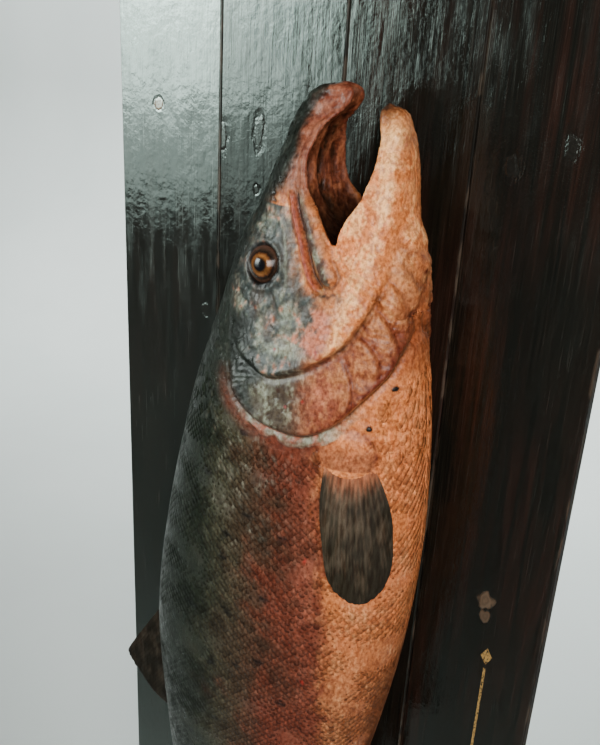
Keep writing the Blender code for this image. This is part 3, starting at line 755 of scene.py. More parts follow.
def head_paint(points):
    x, _, s = points.T
    n = len(x)
    clouds = mottle(points, 1.3, 3, 71)
    patches = mottle(points, 0.5, 3, 72)
    specks = layered_noise(points, (0.2, 0.2, 0.42), 3, 73)
    crest = bumps(points)
    wander = 0.5 * clouds + 0.3 * patches

    cheek = mix(flat(SILVER, n), GREY_BROWN, 0.15 + 1.5 * clouds)
    cheek = mix(cheek, BLUE_GREY, 0.7 * np.clip(-2 * clouds, 0, 1))
    # Pale silver flecks, partly random and partly painted highlight on the crests of the modelling
    flecks = sigmoid((0.6 * crest + 0.8 * patches + 1.0 * specks - 0.36) / 0.28)
    cheek = mix(cheek, PALE_SILVER, 0.42 * flecks)
    # Pale silver, partly random and partly gathered into painted highlights at the cheek's glints
    glow = glows(x, s, *CHEEK_GLINTS) + 0.7 * patches + 0.5 * specks
    cheek = mix(cheek, PALE_SILVER, 0.9 * sigmoid((glow - 0.60) / 0.36))
    cheek = mix(
        cheek, BLUE_GREY, 0.85 * sigmoid((around(x, s, -0.4, 15.0, 0.5, 1.3) + 0.6 * patches - 0.5) / 0.25)
    )
    cheek = mix(cheek, GREY_BROWN, glows(x, s, (0.8, 1.1, 15.9, 0.5, 0.9), (0.7, 1.8, 10.1, 0.6, 1.2)))
    cheek = mix(cheek, BLUE_GREY, glows(x, s, (0.8, 3.6, 18.0, 2.0, 0.4), (0.6, 2.4, 12.4, 0.5, 1.4)))
    cheek = mix(cheek, TAN, 0.5 * around(x, s, 2.7, 11.0, 0.5, 1.8) * (0.7 + patches))

    # Brush strokes mixed with the head's modelling: higher where it stands up, so paint driven by it lays
    # painted highlight on the crests and painted shade in the hollows
    strokes_and_shading = 0.9 * crest + 0.8 * patches + 0.7 * specks
    # The jaw: cream painted highlight on its raised places and rust painted shade in its hollows
    jaw = mix(flat(ORANGE, n), CREAM, 0.75 * sigmoid((strokes_and_shading - 0.22) / 0.16))
    jaw = mix(jaw, RUST, 0.85 * sigmoid((0.5 * clouds - strokes_and_shading - 0.10) / 0.16))
    jaw = mix(jaw, TAN, 0.6 * around(x, s, 5.2, 13.6, 1.3, 1.6))
    # Painted highlight along the jaw's crest, with painted shade in the groove on one side of it and down its
    # other side
    jaw = mix(jaw, CREAM, 0.8 * JAW_CREST.band(x, s, 0.36) * (0.7 + 1.5 * patches))
    jaw = mix(jaw, RUST, 0.7 * JAW_CREST.band(x, s, 0.5, 1.0) * (0.8 + patches))
    jaw = mix(jaw, RUST, 0.4 * JAW_CREST.band(x, s, 0.4, -0.9) * (0.8 + patches))
    jaw = mix(jaw, CREAM, 0.5 * around(x, s, 9.4, 11.9, 0.7, 2.0) * (0.8 + patches))
    jaw = mix(jaw, CREAM, 0.9 * around(x, s, 7.5, 3.1, 0.9, 0.9) * (x > 5))
    jaw = mix(jaw, UMBER, around(x, s, 6.6, 1.4, 0.95, 0.95) * (x > 5) * (1.05 + 0.3 * patches))
    jaw = mix(jaw, DEEP_RUST, 0.5 * around(x, s, 8.5, 3.0, 0.6, 1.2))
    jaw = mix(jaw, TAN, 0.7 * around(x, s, 9.3, 11.3, 0.7, 1.6) * (0.8 + patches))

    warm = sigmoid((beyond(RUST_EDGE, x, s) + wander) / 0.35)
    head = mix(cheek, jaw, np.maximum(warm, (x > 6) | (s < 8)))
    blush = glows(x, s, (1, 5.1, 15.2, 0.7, 1.3), (0.8, 4.5, 16.4, 0.9, 0.5))
    head = mix(head, PINK, sigmoid((blush + 0.6 * patches + 0.3 * specks - 0.40) / 0.15))
    head = mix(head, FOLD_RED, 0.6 * around(x, s, 5.2, 17.0, 1.4, 0.4) * (0.8 + specks))

    snout = sigmoid((7.4 - s + 0.6 * beyond(RUST_EDGE, x, s) + wander) / 0.8) * (x < 5.2)
    # The snout: rose painted highlight on its raised places and deep rust painted shade in its hollows
    red = mix(flat(SNOUT_RED, n), SNOUT_ROSE, 0.8 * sigmoid((strokes_and_shading - 0.2) / 0.18))
    red = mix(red, DEEP_RUST, 0.8 * sigmoid((-strokes_and_shading - 0.2) / 0.18))
    red = mix(red, DEEP_RUST, 0.6 * around(x, s, 4.6, 0.8, 1.0, 0.8))
    head = mix(head, red, snout)

    lobe = maxilla_lobe(x, s)
    across, _ = MAXILLA.off(x, s)
    bone = mix(flat(GREY_BROWN, n), PALE_SILVER, 0.25 + 1.3 * patches)
    edge_red = mix(flat(TAN, n), RUST, 0.5 - 1.2 * patches)
    bone = mix(bone, edge_red, sigmoid((across - 0.12 + 0.25 * patches) / 0.15))
    head = mix(head, bone, sigmoid(lobe / 0.12) * sigmoid((s - 7.2) / 0.5))
    head = mix(head, FOLD_RED, 0.95 * MAXILLA_GROOVE.band(x, s, 0.27, -0.34) * (1.0 + 0.4 * patches))
    # Painted shade in the maxilla's groove
    head = mix(head, INK, 0.95 * MAXILLA_GROOVE.band(x, s, 0.12))
    # Painted shadow beside the maxilla's rounded edge and under its end
    shade = bell(lobe + 0.2, 0.22) * sigmoid((s - 10.8) / 0.5)
    head = mix(head, UMBER, 0.75 * shade + 1.3 * around(x, s, 5.3, 13.15, 0.9, 0.30) * (0.9 + patches))

    # Painted shade in the cheek's crease and a painted highlight along its ridge
    head = mix(head, UMBER, 0.8 * CHEEK_CREASE.band(x, s, 0.12) * (0.8 + specks))
    head = mix(head, PALE_SILVER, 0.6 * CHEEK_RIDGE.band(x, s, 0.09))

    offset, along = PREOPERCLE.off(x, s)
    # The cover: pale silver painted highlight on its raised places
    cover = mix(flat(COVER_OLIVE, n), PALE_SILVER, 0.7 * sigmoid((strokes_and_shading - 0.30) / 0.18))
    cover = mix(cover, PALE_SILVER, 0.5 * around(x, s, 1.2, 20.4, 1.2, 0.8) * (0.6 + patches))
    cover = mix(cover, COVER_PINK, sigmoid((x - 4.3 + 1.2 * wander) / 0.7))
    cover = mix(cover, COVER_RUST, sigmoid((x - 6.9 + 0.9 * wander) / 0.5))
    # Tan painted highlight on the cover's raised places and deep rust painted shade in its hollows
    cover = mix(cover, TAN, 0.8 * sigmoid((strokes_and_shading - 0.2) / 0.18) * sigmoid((x - 4.6) / 0.6))
    cover = mix(cover, DEEP_RUST, 0.75 * sigmoid((-strokes_and_shading - 0.2) / 0.18) * sigmoid((x - 5) / 0.8))
    cover = mix(cover, UMBER, 0.75 * around(x, s, 2.7, 20.1, 0.95, 0.55) * (0.9 + patches))
    cover = mix(cover, PINK, 0.6 * around(x, s, 5.7, 19.9, 0.9, 0.9) * (0.8 + patches))
    head = mix(head, cover, sigmoid(-offset / 0.10) * np.clip((0.93 - along) / 0.2, 0, 1) * (s > 12))
    # Painted shadow under the preopercle's rolled edge
    head = mix(head, UMBER, 0.6 * bell(offset + 0.2, 0.2) * end_fade(along, 0.2) * (0.9 + patches))
    # Painted shade in each fold's groove and a painted highlight along the fold beside it
    for fold in (SUBOPERCLE, *GILL_FOLDS, THROAT_FLAP):
        head = mix(head, DEEP_RUST, 0.65 * fold.band(x, s, 0.2, 0.05, 0.2) * (0.9 + patches))
        head = mix(head, TAN, 0.5 * fold.band(x, s, 0.24, -0.38, 0.2) * (0.9 + patches))

    cap = mix(flat(CAP, n), GREEN_GREY, 0.8 * np.clip(1.4 * clouds + 0.8 * specks, 0, 1))
    head = mix(head, cap, sigmoid(-(beyond(CAP_EDGE, x, s) + 0.7 * wander) / 0.28))
    from_eye = np.hypot(x - EYE_PLACE[0], s - EYE_PLACE[1])
    head = mix(head, BLUE_GREY, 0.7 * bell(from_eye - 1.9, 0.45) * (0.7 + patches))
    head = mix(head, INK, 0.95 * sigmoid((EYE_RIM + 0.10 - from_eye) / 0.05))
    # Painted shade in the throat's slit
    head = mix(head, INK, 0.9 * THROAT_SLIT.band(x, s, 0.16))
    for nostril_x, nostril_s in NOSTRILS:
        head = mix(head, INK, 0.9 * np.exp(-(((x - nostril_x) ** 2 + (s - nostril_s) ** 2) / 0.17**2)))
    return red_dots(head, x, s)


def mouth_paint(points):
    x, y, s = points.T
    folds = layered_noise(points, (0.28, 0.28, 2.4), 3, 31)
    grains = mottle(points, 0.3, 2, 33)
    # Painted highlight on the mouth's folds and painted shade between them, broken by grains
    mouth = mix(flat(PALATE, len(x)), PALATE_PALE, 0.2 + 1.3 * folds + 0.5 * grains)
    mouth = mix(mouth, PALATE_SHADE, np.clip(-1.6 * folds - 0.4 * grains - 0.1, 0, 0.9))
    # Painted shade in the grooves beside the palate's middle ridge
    groove_shade = bell(np.abs(y) - 1.0, 0.45) * (x < 5.5) * sigmoid((s - 2.8) / 0.4)
    mouth = mix(mouth, PALATE_SHADE, groove_shade * (0.85 + grains))
    # Painted highlight along the palate's middle ridge, towards the front
    mouth = mix(mouth, PALATE_PALE, 0.5 * bell(y, 0.4) * (x < 5) * sigmoid((6.5 - s) / 1.0))
    # Painted shade deep in the mouth, darker towards its back
    return mix(mouth, PALATE_SHADE, 0.93 * sigmoid((s - 7.6) / 1.0))


def body_paint(points):
    """Linear RGB of the painted skin at fish-frame points. The skin and the scales share it."""
    fine = noise(points, (0.13, 0.13, 0.2), 61)
    colour = flank_paint(points, fine)
    at_head = np.flatnonzero(points[:, 2] < HEAD_PAINT_END)
    near = points[at_head]
    x, y, s = near.T
    head = head_paint(near)
    patches = mottle(near, 0.4, 2, 75)
    offset, along = OPERCLE.off(x, s)
    low = np.clip((along - 0.42) / 0.12, 0, 1)
    head = mix(head, DEEP_RUST, low * bell(offset - 0.1, 0.6) * end_fade(along, 0.1) * (0.85 + patches))
    head = mix(head, UMBER, 0.7 * (1 - low) * bell(offset - 0.1, 0.3) * end_fade(along, 0.1))
    behind = np.where(s > 23.4, 1, np.where(s < 13.5, 0, sigmoid(-offset / 0.07)))
    colour_near = mix(head, colour[at_head], behind)
    throat = around(x, s, 10.6, 15.6, 1.0, 2.4)
    colour_near = mix(colour_near, DEEP_RUST, 0.7 * throat)
    # Painted shadow under the rear edge of the gill cover
    colour_near = mix(colour_near, UMBER, 0.85 * bell(offset + 0.14, 0.14) * end_fade(along, 0.1))
    lobe = fin_root(x, s)
    # Painted shade in the crease round the pectoral fin's fleshy root
    root_crease_shade = bell(lobe - 1.1, 0.13) * sigmoid((x - 7.6) / 0.4)
    colour_near = mix(colour_near, DEEP_RUST, 0.75 * root_crease_shade * (0.8 + patches))
    lobe_skin = mix(flat(FIN_FLESH, len(x)), BELLY_BROWN, 0.35 + patches)
    colour_near = mix(
        colour_near, lobe_skin, 0.85 * sigmoid((1.08 - lobe) / 0.12) * sigmoid((s - 23.3) / 0.5)
    )
    fringe = fringe_share(near, offset, along)
    strands = mix(flat(GREY_BROWN, len(x)), PALE_SILVER, 0.7 + 1.5 * patches)
    colour_near = mix(colour_near, mix(strands, PINK, 0.15 - patches), 0.9 * fringe)
    behind_cover = bell(offset + 0.9, 0.6) * end_fade(along, 0.15) * (1 - low)
    colour_near = mix(colour_near, FLANK_RED, 0.7 * behind_cover)
    for bead_x, bead_s in BEADS:
        bead = np.hypot(x - bead_x, s - bead_s)
        colour_near = mix(colour_near, INK, np.where(y > 0, sigmoid((BEAD_RADIUS - bead) / 0.02), 0))
    colour_near = mix(colour_near, mouth_paint(near), 1 - on_outside(near))
    colour[at_head] = colour_near
    return colour * (1 + 0.12 * noise(points, 0.1, 81))[:, None]


# ---------------------------------------------------------------------------------------------------------
# Skin
# ---------------------------------------------------------------------------------------------------------


def skin_field(x, y, s):
    """The fish's field with its eye sockets, sunk by the coat's depth where scales lie on it."""
    value = fish_field(x, y, s) + COAT_DEPTH * np.clip((s - SCALES_START) / 2, 0, 1)
    width = width_at(BODY_LINES, *EYE_PLACE)
    for side in (1, -1):
        dx, dy, ds = x - EYE_PLACE[0], y - side * (width - SOCKET_SINK), s - EYE_PLACE[1]
        socket = np.sqrt((dx / EYE_RIM) ** 2 + (dy / SOCKET_DEPTH) ** 2 + (ds / EYE_RIM) ** 2)
        value = smooth_max(value, (1 - socket) * 0.9, SOCKET_ROUNDING)
    return value


# How far the skin's grid reaches along each axis, and where along s it turns from fine to coarse
GRID_X = (-11.8, 12.6)
GRID_Y = (-6.8, 6.4)
GRID_S = (-0.4, 26.0, 96.4)


def skin_axes():
    """Coordinates of the skin's grid, finer over the head than over the scaled body."""
    cross, fine, coarse = ((0.11, 0.095, 0.4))
    start, turn, end = GRID_S
    ss = np.concatenate([np.arange(start, turn, fine), np.arange(turn, end, coarse)])
    return np.arange(*GRID_X, cross), np.arange(*GRID_Y, cross), ss


def skin_shine(points):
    """How glossy the skin is: dull in the throat and duller on the dark cap of the head."""
    x, _, s = points.T
    throat = (1 - on_outside(points)) * sigmoid(s - 6.5)
    cap = sigmoid(-beyond(CAP_EDGE, x, s) / 0.4) * sigmoid((23 - s) / 1.5)
    warm = sigmoid(beyond(RUST_EDGE, x, s) / 0.5)
    cheek = sigmoid(-beyond(RUST_EDGE, x, s) / 0.5) * sigmoid((19 - s) / 1.0) * (1 - cap)
    return 1 - 0.9 * throat - (0.3 * cap + 0.45 * warm + 0.25 * cheek) * (1 - throat)


def make_skin():
    vertices, quads = surface_net(skin_field, skin_axes())
    vertices, normals = project(skin_field, vertices)
    painted = body_paint(vertices)
    smooth_form = vertices
    vertices = vertices + normals * relief(vertices)[:, None]
    obj = mesh_object("skin", to_world(vertices), quads[:, ::-1])
    set_colours(obj, "paint", painted, skin_shine(smooth_form))
    return obj


# ---------------------------------------------------------------------------------------------------------
# Scales
# ---------------------------------------------------------------------------------------------------------

ROW_PITCH = line(((18, 0.22), (26, 0.29), (56, 0.29), (80, 0.22), (95, 0.16)))
ALONG_PER_ROW = 2.0
SCALE_LENGTH = 1.9
SCALE_WIDTH = 1.36
SCALE_RAISE = 0.011
SCALE_ROOT = 0.022
SCALE_THICKNESS = 0.011
BELLY_SETTLE = 0.35
SCALE_OUTLINE = (0.60, 0.98, 0.90, 0.42)
SCALES_PER_PIECE = 4300
FLANK_START = 16.0
FLANK_STEP = 0.25
ARC_STEPS = 256
UNWRAP_LENGTH = 80.0
PATCH = 0.003
SCALES_EDGE = line((
    (-8, 19.6), (-5, 20.4), (-2, 22.6), (0, 23.7), (2, 24.1), (5, 24.1), (7, 22.6), (9, 20.4), (10.5, 18.2),
    (12, 18.2),
))
SCALES_FIRST = 17.0
SCALES_LAST = 93.6
FULL_PITCH = 0.29
SCALLOP = 0.18
CUPPING = 0.008
SCALE_JITTER = 0.04
COAT_SINK = 0.85


class Flank:
    """One side of the body as a chart: a place on it from s and the distance below the lateral line."""

    def __init__(self, side):
        self.side = side
        self.rows = np.arange(FLANK_START, TAIL_END, FLANK_STEP)
        angle = np.linspace(math.pi, 0, 4 * ARC_STEPS)[None, :]
        s = self.rows[:, None]
        back, widest, belly, half = (read(s) for read in BODY_LINES)
        cos = np.cos(angle)
        across = np.sign(cos) * np.abs(cos) ** (2 / OVAL_POWER)
        x = widest + across * np.where(across > 0, belly - widest, widest - back)
        y = half * np.abs(np.sin(angle)) ** (2 / OVAL_POWER)
        if side < 0:
            y = np.minimum(y * (1 + BOARD_SIDE_SWELL(s) / half), BOARD_SIDE)
        steps = np.hypot(np.diff(x, axis=1), np.diff(y, axis=1))
        walked = np.concatenate([np.zeros((len(s), 1)), np.cumsum(steps, axis=1)], axis=1)
        self.girth = walked[:, -1]
        share = np.linspace(0, 1, ARC_STEPS + 1)
        self.x = np.stack([np.interp(share * w[-1], w, row) for w, row in zip(walked, x)])
        self.y = side * np.stack([np.interp(share * w[-1], w, row) for w, row in zip(walked, y)])
        lateral = LATERAL_LINE(self.rows)
        self.lateral = np.array([
            np.interp(at, row, share * girth) for at, row, girth in zip(lateral, self.x, self.girth)
        ])
        points = np.stack([self.x, self.y, np.repeat(s, ARC_STEPS + 1, axis=1)], axis=2)
        normal = np.cross(np.gradient(points, axis=0), np.gradient(points, axis=1)) * side
        self.normal = normal / np.maximum(np.linalg.norm(normal, axis=2, keepdims=True), 1e-9)
        self.points = points

    def share(self, s, below):
        """How far round from the back a place is, from 0 to 1."""
        return (np.interp(s, self.rows, self.lateral) + below) / np.interp(s, self.rows, self.girth)

    def at(self, s, below):
        """Points and outward normals for arrays of s and of the distance below the lateral line."""
        row = np.clip((s - self.rows[0]) / FLANK_STEP, 0, len(self.rows) - 1.001)
        column = np.clip(self.share(s, below) * ARC_STEPS, 0, ARC_STEPS - 0.001)
        i, j = row.astype(int), column.astype(int)
        u, v = (row - i)[..., None], (column - j)[..., None]
        found = []
        for grid in (self.points, self.normal):
            near = grid[i, j] * (1 - v) + grid[i, j + 1] * v
            far = grid[i + 1, j] * (1 - v) + grid[i + 1, j + 1] * v
            found.append(near * (1 - u) + far * u)
        points, normals = found
        return points, normals / np.linalg.norm(normals, axis=-1, keepdims=True)


def scale_places(flank):
    """(s, below, row pitch) of each scale's root, in staggered rows that run along the lateral line."""
    s = SCALES_FIRST
    places = []
    count = 0
    while s < SCALES_LAST:
        pitch = float(ROW_PITCH(s))
        above = -np.interp(s, flank.rows, flank.lateral)
        under = np.interp(s, flank.rows, flank.girth) + above
        first = math.ceil(above / pitch)
        rows = np.arange(first + (first + count) % 2, under / pitch, 2)
        places += [(s, j * pitch, pitch) for j in rows]
        s += pitch * ALONG_PER_ROW / 2
        count += 1
    return np.array(places)


def scale_faces(columns, rows):
    """Quads of one closed scale: its top, its underside and its rim."""
    per_side = columns * rows
    top = [(r * columns + c, r * columns + c + 1, (r + 1) * columns + c + 1, (r + 1) * columns + c)
           for r in range(rows - 1) for c in range(columns - 1)]
    faces = top + [tuple(per_side + v for v in reversed(face)) for face in top]
    rim = list(range(columns))
    rim += [r * columns + columns - 1 for r in range(1, rows)]
    rim += [(rows - 1) * columns + c for c in range(columns - 2, -1, -1)]
    rim += [r * columns for r in range(rows - 2, 0, -1)]
    for a, b in zip(rim, rim[1:] + rim[:1]):
        faces.append((b, a, per_side + a, per_side + b))
    return np.array(faces)


def scales_of(flank):
    """Vertices, colours and bake patches of every scale on one flank, scale by scale."""
    places = scale_places(flank)
    centre, _ = flank.at(places[:, 0], places[:, 1])
    places = places[centre[:, 2] > SCALES_EDGE(centre[:, 0])]
    centre, _ = flank.at(places[:, 0], places[:, 1])
    keep = (centre[:, 1] > -BOARD_SIDE + 0.25) & on_the_body(centre)
    places = places[keep]
    s, below, pitch = (column[:, None, None] for column in places.T)
    across = np.linspace(-1, 1, 3)[None, None, :]
    along = np.linspace(0, 1, len(SCALE_OUTLINE))[None, :, None]
    outline = np.array(SCALE_OUTLINE)[None, :, None]
    jitter = np.random.default_rng(3).normal(0, SCALE_JITTER, (len(places), 4))[:, :, None, None]
    below_at = below + pitch * (across * outline * SCALE_WIDTH + jitter[:, 0])
    reach = along * SCALE_LENGTH * ALONG_PER_ROW - SCALLOP * (across**2) * along
    s_at = s + pitch * (reach + jitter[:, 1])
    points, normals = flank.at(s_at, below_at)
    roots = points[:, 0, 1]
    on_belly = sigmoid(beyond(FLANK_EDGE, roots[:, 0], roots[:, 2]) / 0.8)[:, None, None]
    settle = np.clip((s - 18.0) / 6.0, 0.45, 1) * (1 + 2 * jitter[:, 2]) * (1 - on_belly * (1 - BELLY_SETTLE))
    size = pitch / FULL_PITCH
    raised = ((SCALE_RAISE + SCALE_ROOT) * along**0.7 - SCALE_ROOT - CUPPING * across**2) * settle * size
    lift = relief(roots)[:, None, None] - COAT_SINK * COAT_DEPTH * np.clip((s - SCALES_START) / 2, 0, 1)
    top = points + normals * (lift + raised)[..., None]
    bottom = points + normals * (lift + raised - SCALE_THICKNESS * size)[..., None]
    vertices = np.concatenate([top.reshape(len(places), -1, 3), bottom.reshape(len(places), -1, 3)], axis=1)
    colours = body_paint(points.reshape(-1, 3)).reshape(len(places), len(SCALE_OUTLINE), 3, 3)
    shade = 1 + 0.22 * np.random.default_rng(5).normal(0, 1, (len(places), 1, 1, 1))
    # Each scale lighter at its free tip and darker towards its root and sides: painted shade where it tucks
    # under its neighbours
    edge = 0.97 + 0.10 * along**2 - 0.05 * across**2
    colours = colours * np.clip(shade, 0.7, 1.35) * edge[..., None]
    colours = np.tile(colours.reshape(len(places), -1, 3), (1, 2, 1))
    round_body = flank.share(s, below)
    u = 0.5 * round_body if flank.side > 0 else 1 - 0.5 * round_body
    u = u + PATCH * (0.5 + 0.5 * across) * np.ones_like(along)
    v = (s - FLANK_START) / UNWRAP_LENGTH + PATCH * along * np.ones_like(across)
    patch = np.stack([u, v], axis=-1).reshape(len(places), -1, 2) * 0.98
    return vertices, colours, np.tile(patch, (1, 2, 1))


def on_the_body(points):
    """False for places under the pectoral fin's fleshy root or a bead."""
    x, y, s = points.T
    clear = np.hypot((x - PECTORAL_BASE[0]) / 1.8, (s - PECTORAL_BASE[1]) / 1.8) > 1
    for bead_x, bead_s in BEADS:
        clear &= (np.hypot(x - bead_x, s - bead_s + 0.2) > 0.5) | (y < 0)
    return clear


def make_scales():
    parts = [scales_of(Flank(side)) for side in (1, -1)]
    vertices, colours, patches = (np.concatenate(columns) for columns in zip(*parts))
    order = np.argsort(vertices[:, 0, 2], kind="stable")
    faces = scale_faces(3, len(SCALE_OUTLINE))
    on_top = np.arange(len(faces)) < 2 * (len(SCALE_OUTLINE) - 1)
    per_scale = vertices.shape[1]
    pieces = []
    for n, chosen in enumerate(np.array_split(order, math.ceil(len(order) / SCALES_PER_PIECE))):
        start = np.arange(len(chosen))[:, None, None] * per_scale
        quads = (faces[None] + start).reshape(-1, 4)
        smooth = np.tile(on_top, len(chosen))
        obj = mesh_object(f"scales_{n + 1}", to_world(vertices[chosen].reshape(-1, 3)), quads, smooth)
        set_colours(obj, "paint", colours[chosen].reshape(-1, 3))
        layer = obj.data.uv_layers.new(name="OFBake")
        layer.data.foreach_set("uv", patches[chosen].reshape(-1, 2)[quads.ravel()].astype(np.float32).ravel())
        pieces.append(obj)
    return pieces


# ---------------------------------------------------------------------------------------------------------
# Eyes
# ---------------------------------------------------------------------------------------------------------

EYE_RADIUS = 1.36
EYE_BULGE = 0.62
EYE_SINK = 0.62
CORNEA_RADIUS = 0.85
CORNEA_HEIGHT = 0.16
EYE_COLOURS = (
    (0.00, (0.003, 0.003, 0.005)), (0.36, (0.004, 0.004, 0.005)), (0.43, (0.02, 0.008, 0.003)),
    (0.51, (0.10, 0.038, 0.010)), (0.66, (0.17, 0.068, 0.020)), (0.79, (0.07, 0.024, 0.008)),
    (0.87, (0.008, 0.005, 0.004)), (1.00, (0.025, 0.015, 0.010)), (1.12, (0.055, 0.028, 0.018)),
    (1.26, (0.060, 0.026, 0.016)), (1.34, (0.008, 0.006, 0.005)),
)
EYE_AXIS = (0.30, 1.0, -0.05)


def make_eye(side_name, side):
    """A glass eye: a low dome set in the socket, painted in rings round the pupil."""
    rings, spokes = ((72, 96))
    angle = np.linspace(0, math.pi, rings + 1)[1:-1, None]
    turn = np.linspace(0, 2 * math.pi, spokes, endpoint=False)[None, :]
    out = np.cos(angle)
    round_x = np.sin(angle) * np.cos(turn)
    round_s = np.sin(angle) * np.sin(turn)
    shape = np.stack([round_x, out * np.ones_like(turn), round_s], axis=-1).reshape(-1, 3)
    shape = np.concatenate([shape, [[0, 1, 0], [0, -1, 0]]])
    radius = EYE_RADIUS * np.hypot(shape[:, 0], shape[:, 2])
    cornea = CORNEA_HEIGHT * np.exp(-((radius / CORNEA_RADIUS) ** 4)) * (shape[:, 1] > 0)
    width = float(width_at(BODY_LINES, *EYE_PLACE))
    tilt = surface_normal(*EYE_PLACE, width) + np.array(EYE_AXIS)
    tilt = tilt / np.linalg.norm(tilt)
    tilt_x = np.array((0, 0, 1.0)) - tilt * tilt[2]
    tilt_x = tilt_x / np.linalg.norm(tilt_x)
    tilt_s = np.cross(tilt, tilt_x)
    centre = np.array((EYE_PLACE[0], width, EYE_PLACE[1])) - tilt * EYE_SINK
    local = shape * (EYE_RADIUS, 1, EYE_RADIUS)
    height = shape[:, 1] * EYE_RADIUS * EYE_BULGE + cornea
    points = centre + height[:, None] * tilt + local[:, :1] * tilt_s + local[:, 2:] * tilt_x
    stops, colours = zip(*EYE_COLOURS)
    bearing = np.arctan2(shape[:, 0], shape[:, 2])
    rays = 0.05 * noise(np.stack([bearing * 9, radius, radius], axis=1), 1.0, 3)
    ring = radius + rays * (radius > 0.5)
    paint = np.stack([np.interp(ring, stops, column) for column in np.array(colours).T], axis=1)
    spots = layered_noise(shape, 0.35, 3, 9)
    paint = paint * (1 + 0.6 * spots * (radius > 0.55))[:, None]
    points[:, 1] *= side
    index = np.arange((rings - 1) * spokes).reshape(rings - 1, spokes)
    following = np.roll(index, -1, axis=1)
    quads = np.stack([index[:-1], index[1:], following[1:], following[:-1]], axis=-1).reshape(-1, 4)
    near, far = len(points) - 2, len(points) - 1
    faces = [tuple(quad) for quad in quads]
    faces += [(near, i, j) for i, j in zip(index[0], following[0])]
    faces += [(far, j, i) for i, j in zip(index[-1], following[-1])]
    if side < 0:
        faces = [tuple(reversed(face)) for face in faces]
    mesh = bpy.data.meshes.new(f"glass_eye_{side_name}")
    mesh.from_pydata(to_world(points).tolist(), [], faces)
    mesh.shade_smooth()
    obj = bpy.data.objects.new(mesh.name, mesh)
    bpy.context.scene.collection.objects.link(obj)
    set_colours(obj, "paint", paint)
    return obj


def surface_normal(x, s, width):
    """The outward normal of the smooth body at a place on its side."""
    point = np.array([(x, width, s)])
    gradient = field_normals(fish_field, point, 0.3)[0]
    return gradient / np.linalg.norm(gradient)


# ---------------------------------------------------------------------------------------------------------
# Fins
# ---------------------------------------------------------------------------------------------------------

DORSAL = (((0, (-9.9, 0, 44.0)), (1, (-9.2, 0, 57.4))),
          ((0, (-15.2, 0, 52.6)), (0.08, (-16.2, 0, 54.4)), (0.2, (-16.0, 0, 55.4)), (0.6, (-13.6, 0, 57.8)),
           (1, (-11.3, 0, 59.4))))
ADIPOSE = (((0, (-6.2, 0, 76.2)), (1, (-6.0, 0, 79.0))),
           ((0, (-9.2, 0, 80.5)), (0.5, (-9.1, 0, 81.5)), (1, (-8.1, 0, 81.8))))
ANAL = (((0, (3.2, 0, 72.4)), (1, (1.2, 0, 81.4))),
        ((0, (10.3, 0, 79.7)), (0.25, (9.9, 0, 81.3)), (1, (4.5, 0, 84.8))))
TAIL = (((0, (-5.2, 0, 90.2)), (0.2, (-4.2, 0, 91.6)), (0.8, (-0.8, 0, 91.6)), (1, (0.3, 0, 90.2))),
        ((0, (-12.5, 0, 99.7)), (0.07, (-12.8, 0, 101.4)), (0.16, (-11.2, 0, 101.9)), (0.5, (-2.5, 0, 100.3)),
         (0.84, (6.2, 0, 101.9)), (0.93, (7.8, 0, 101.4)), (1, (7.5, 0, 99.7))))
PECTORAL = (((0, (6.4, -0.1, 24.2)), (1, (9.5, -0.1, 24.8))),
            ((0, (6.75, 0.3, 31.2)), (0.12, (7.0, 0.4, 33.0)), (0.27, (7.65, 0.47, 34.5)),
             (0.42, (8.6, 0.5, 35.4)), (0.55, (9.4, 0.5, 35.65)), (0.68, (10.3, 0.46, 35.2)),
             (0.8, (10.95, 0.4, 33.9)), (0.9, (11.15, 0.36, 32.2)), (1, (11.0, 0.3, 30.2))))
PECTORAL_SPREAD = 0.7
PELVIC = (((0, (9.0, 1.6, 53.8)), (1, (8.3, 0.7, 55.8))),
          ((0, (10.0, 3.85, 61.2)), (0.35, (9.3, 3.45, 62.4)), (1, (7.8, 2.15, 60.8))))
# Thicknesses of a fin, in centimetres: the web, and what its rays, its root and the joints of the rays add
WEB = 0.035
RAY_RISE = 0.05
ROOT_RISE = 0.16
JOINT_RISE = 0.006
FRAY = 0.009
FIN_DARK = (0.016, 0.013, 0.008)
FIN_BROWN = (0.080, 0.058, 0.038)
FIN_FLESH = (0.34, 0.115, 0.052)


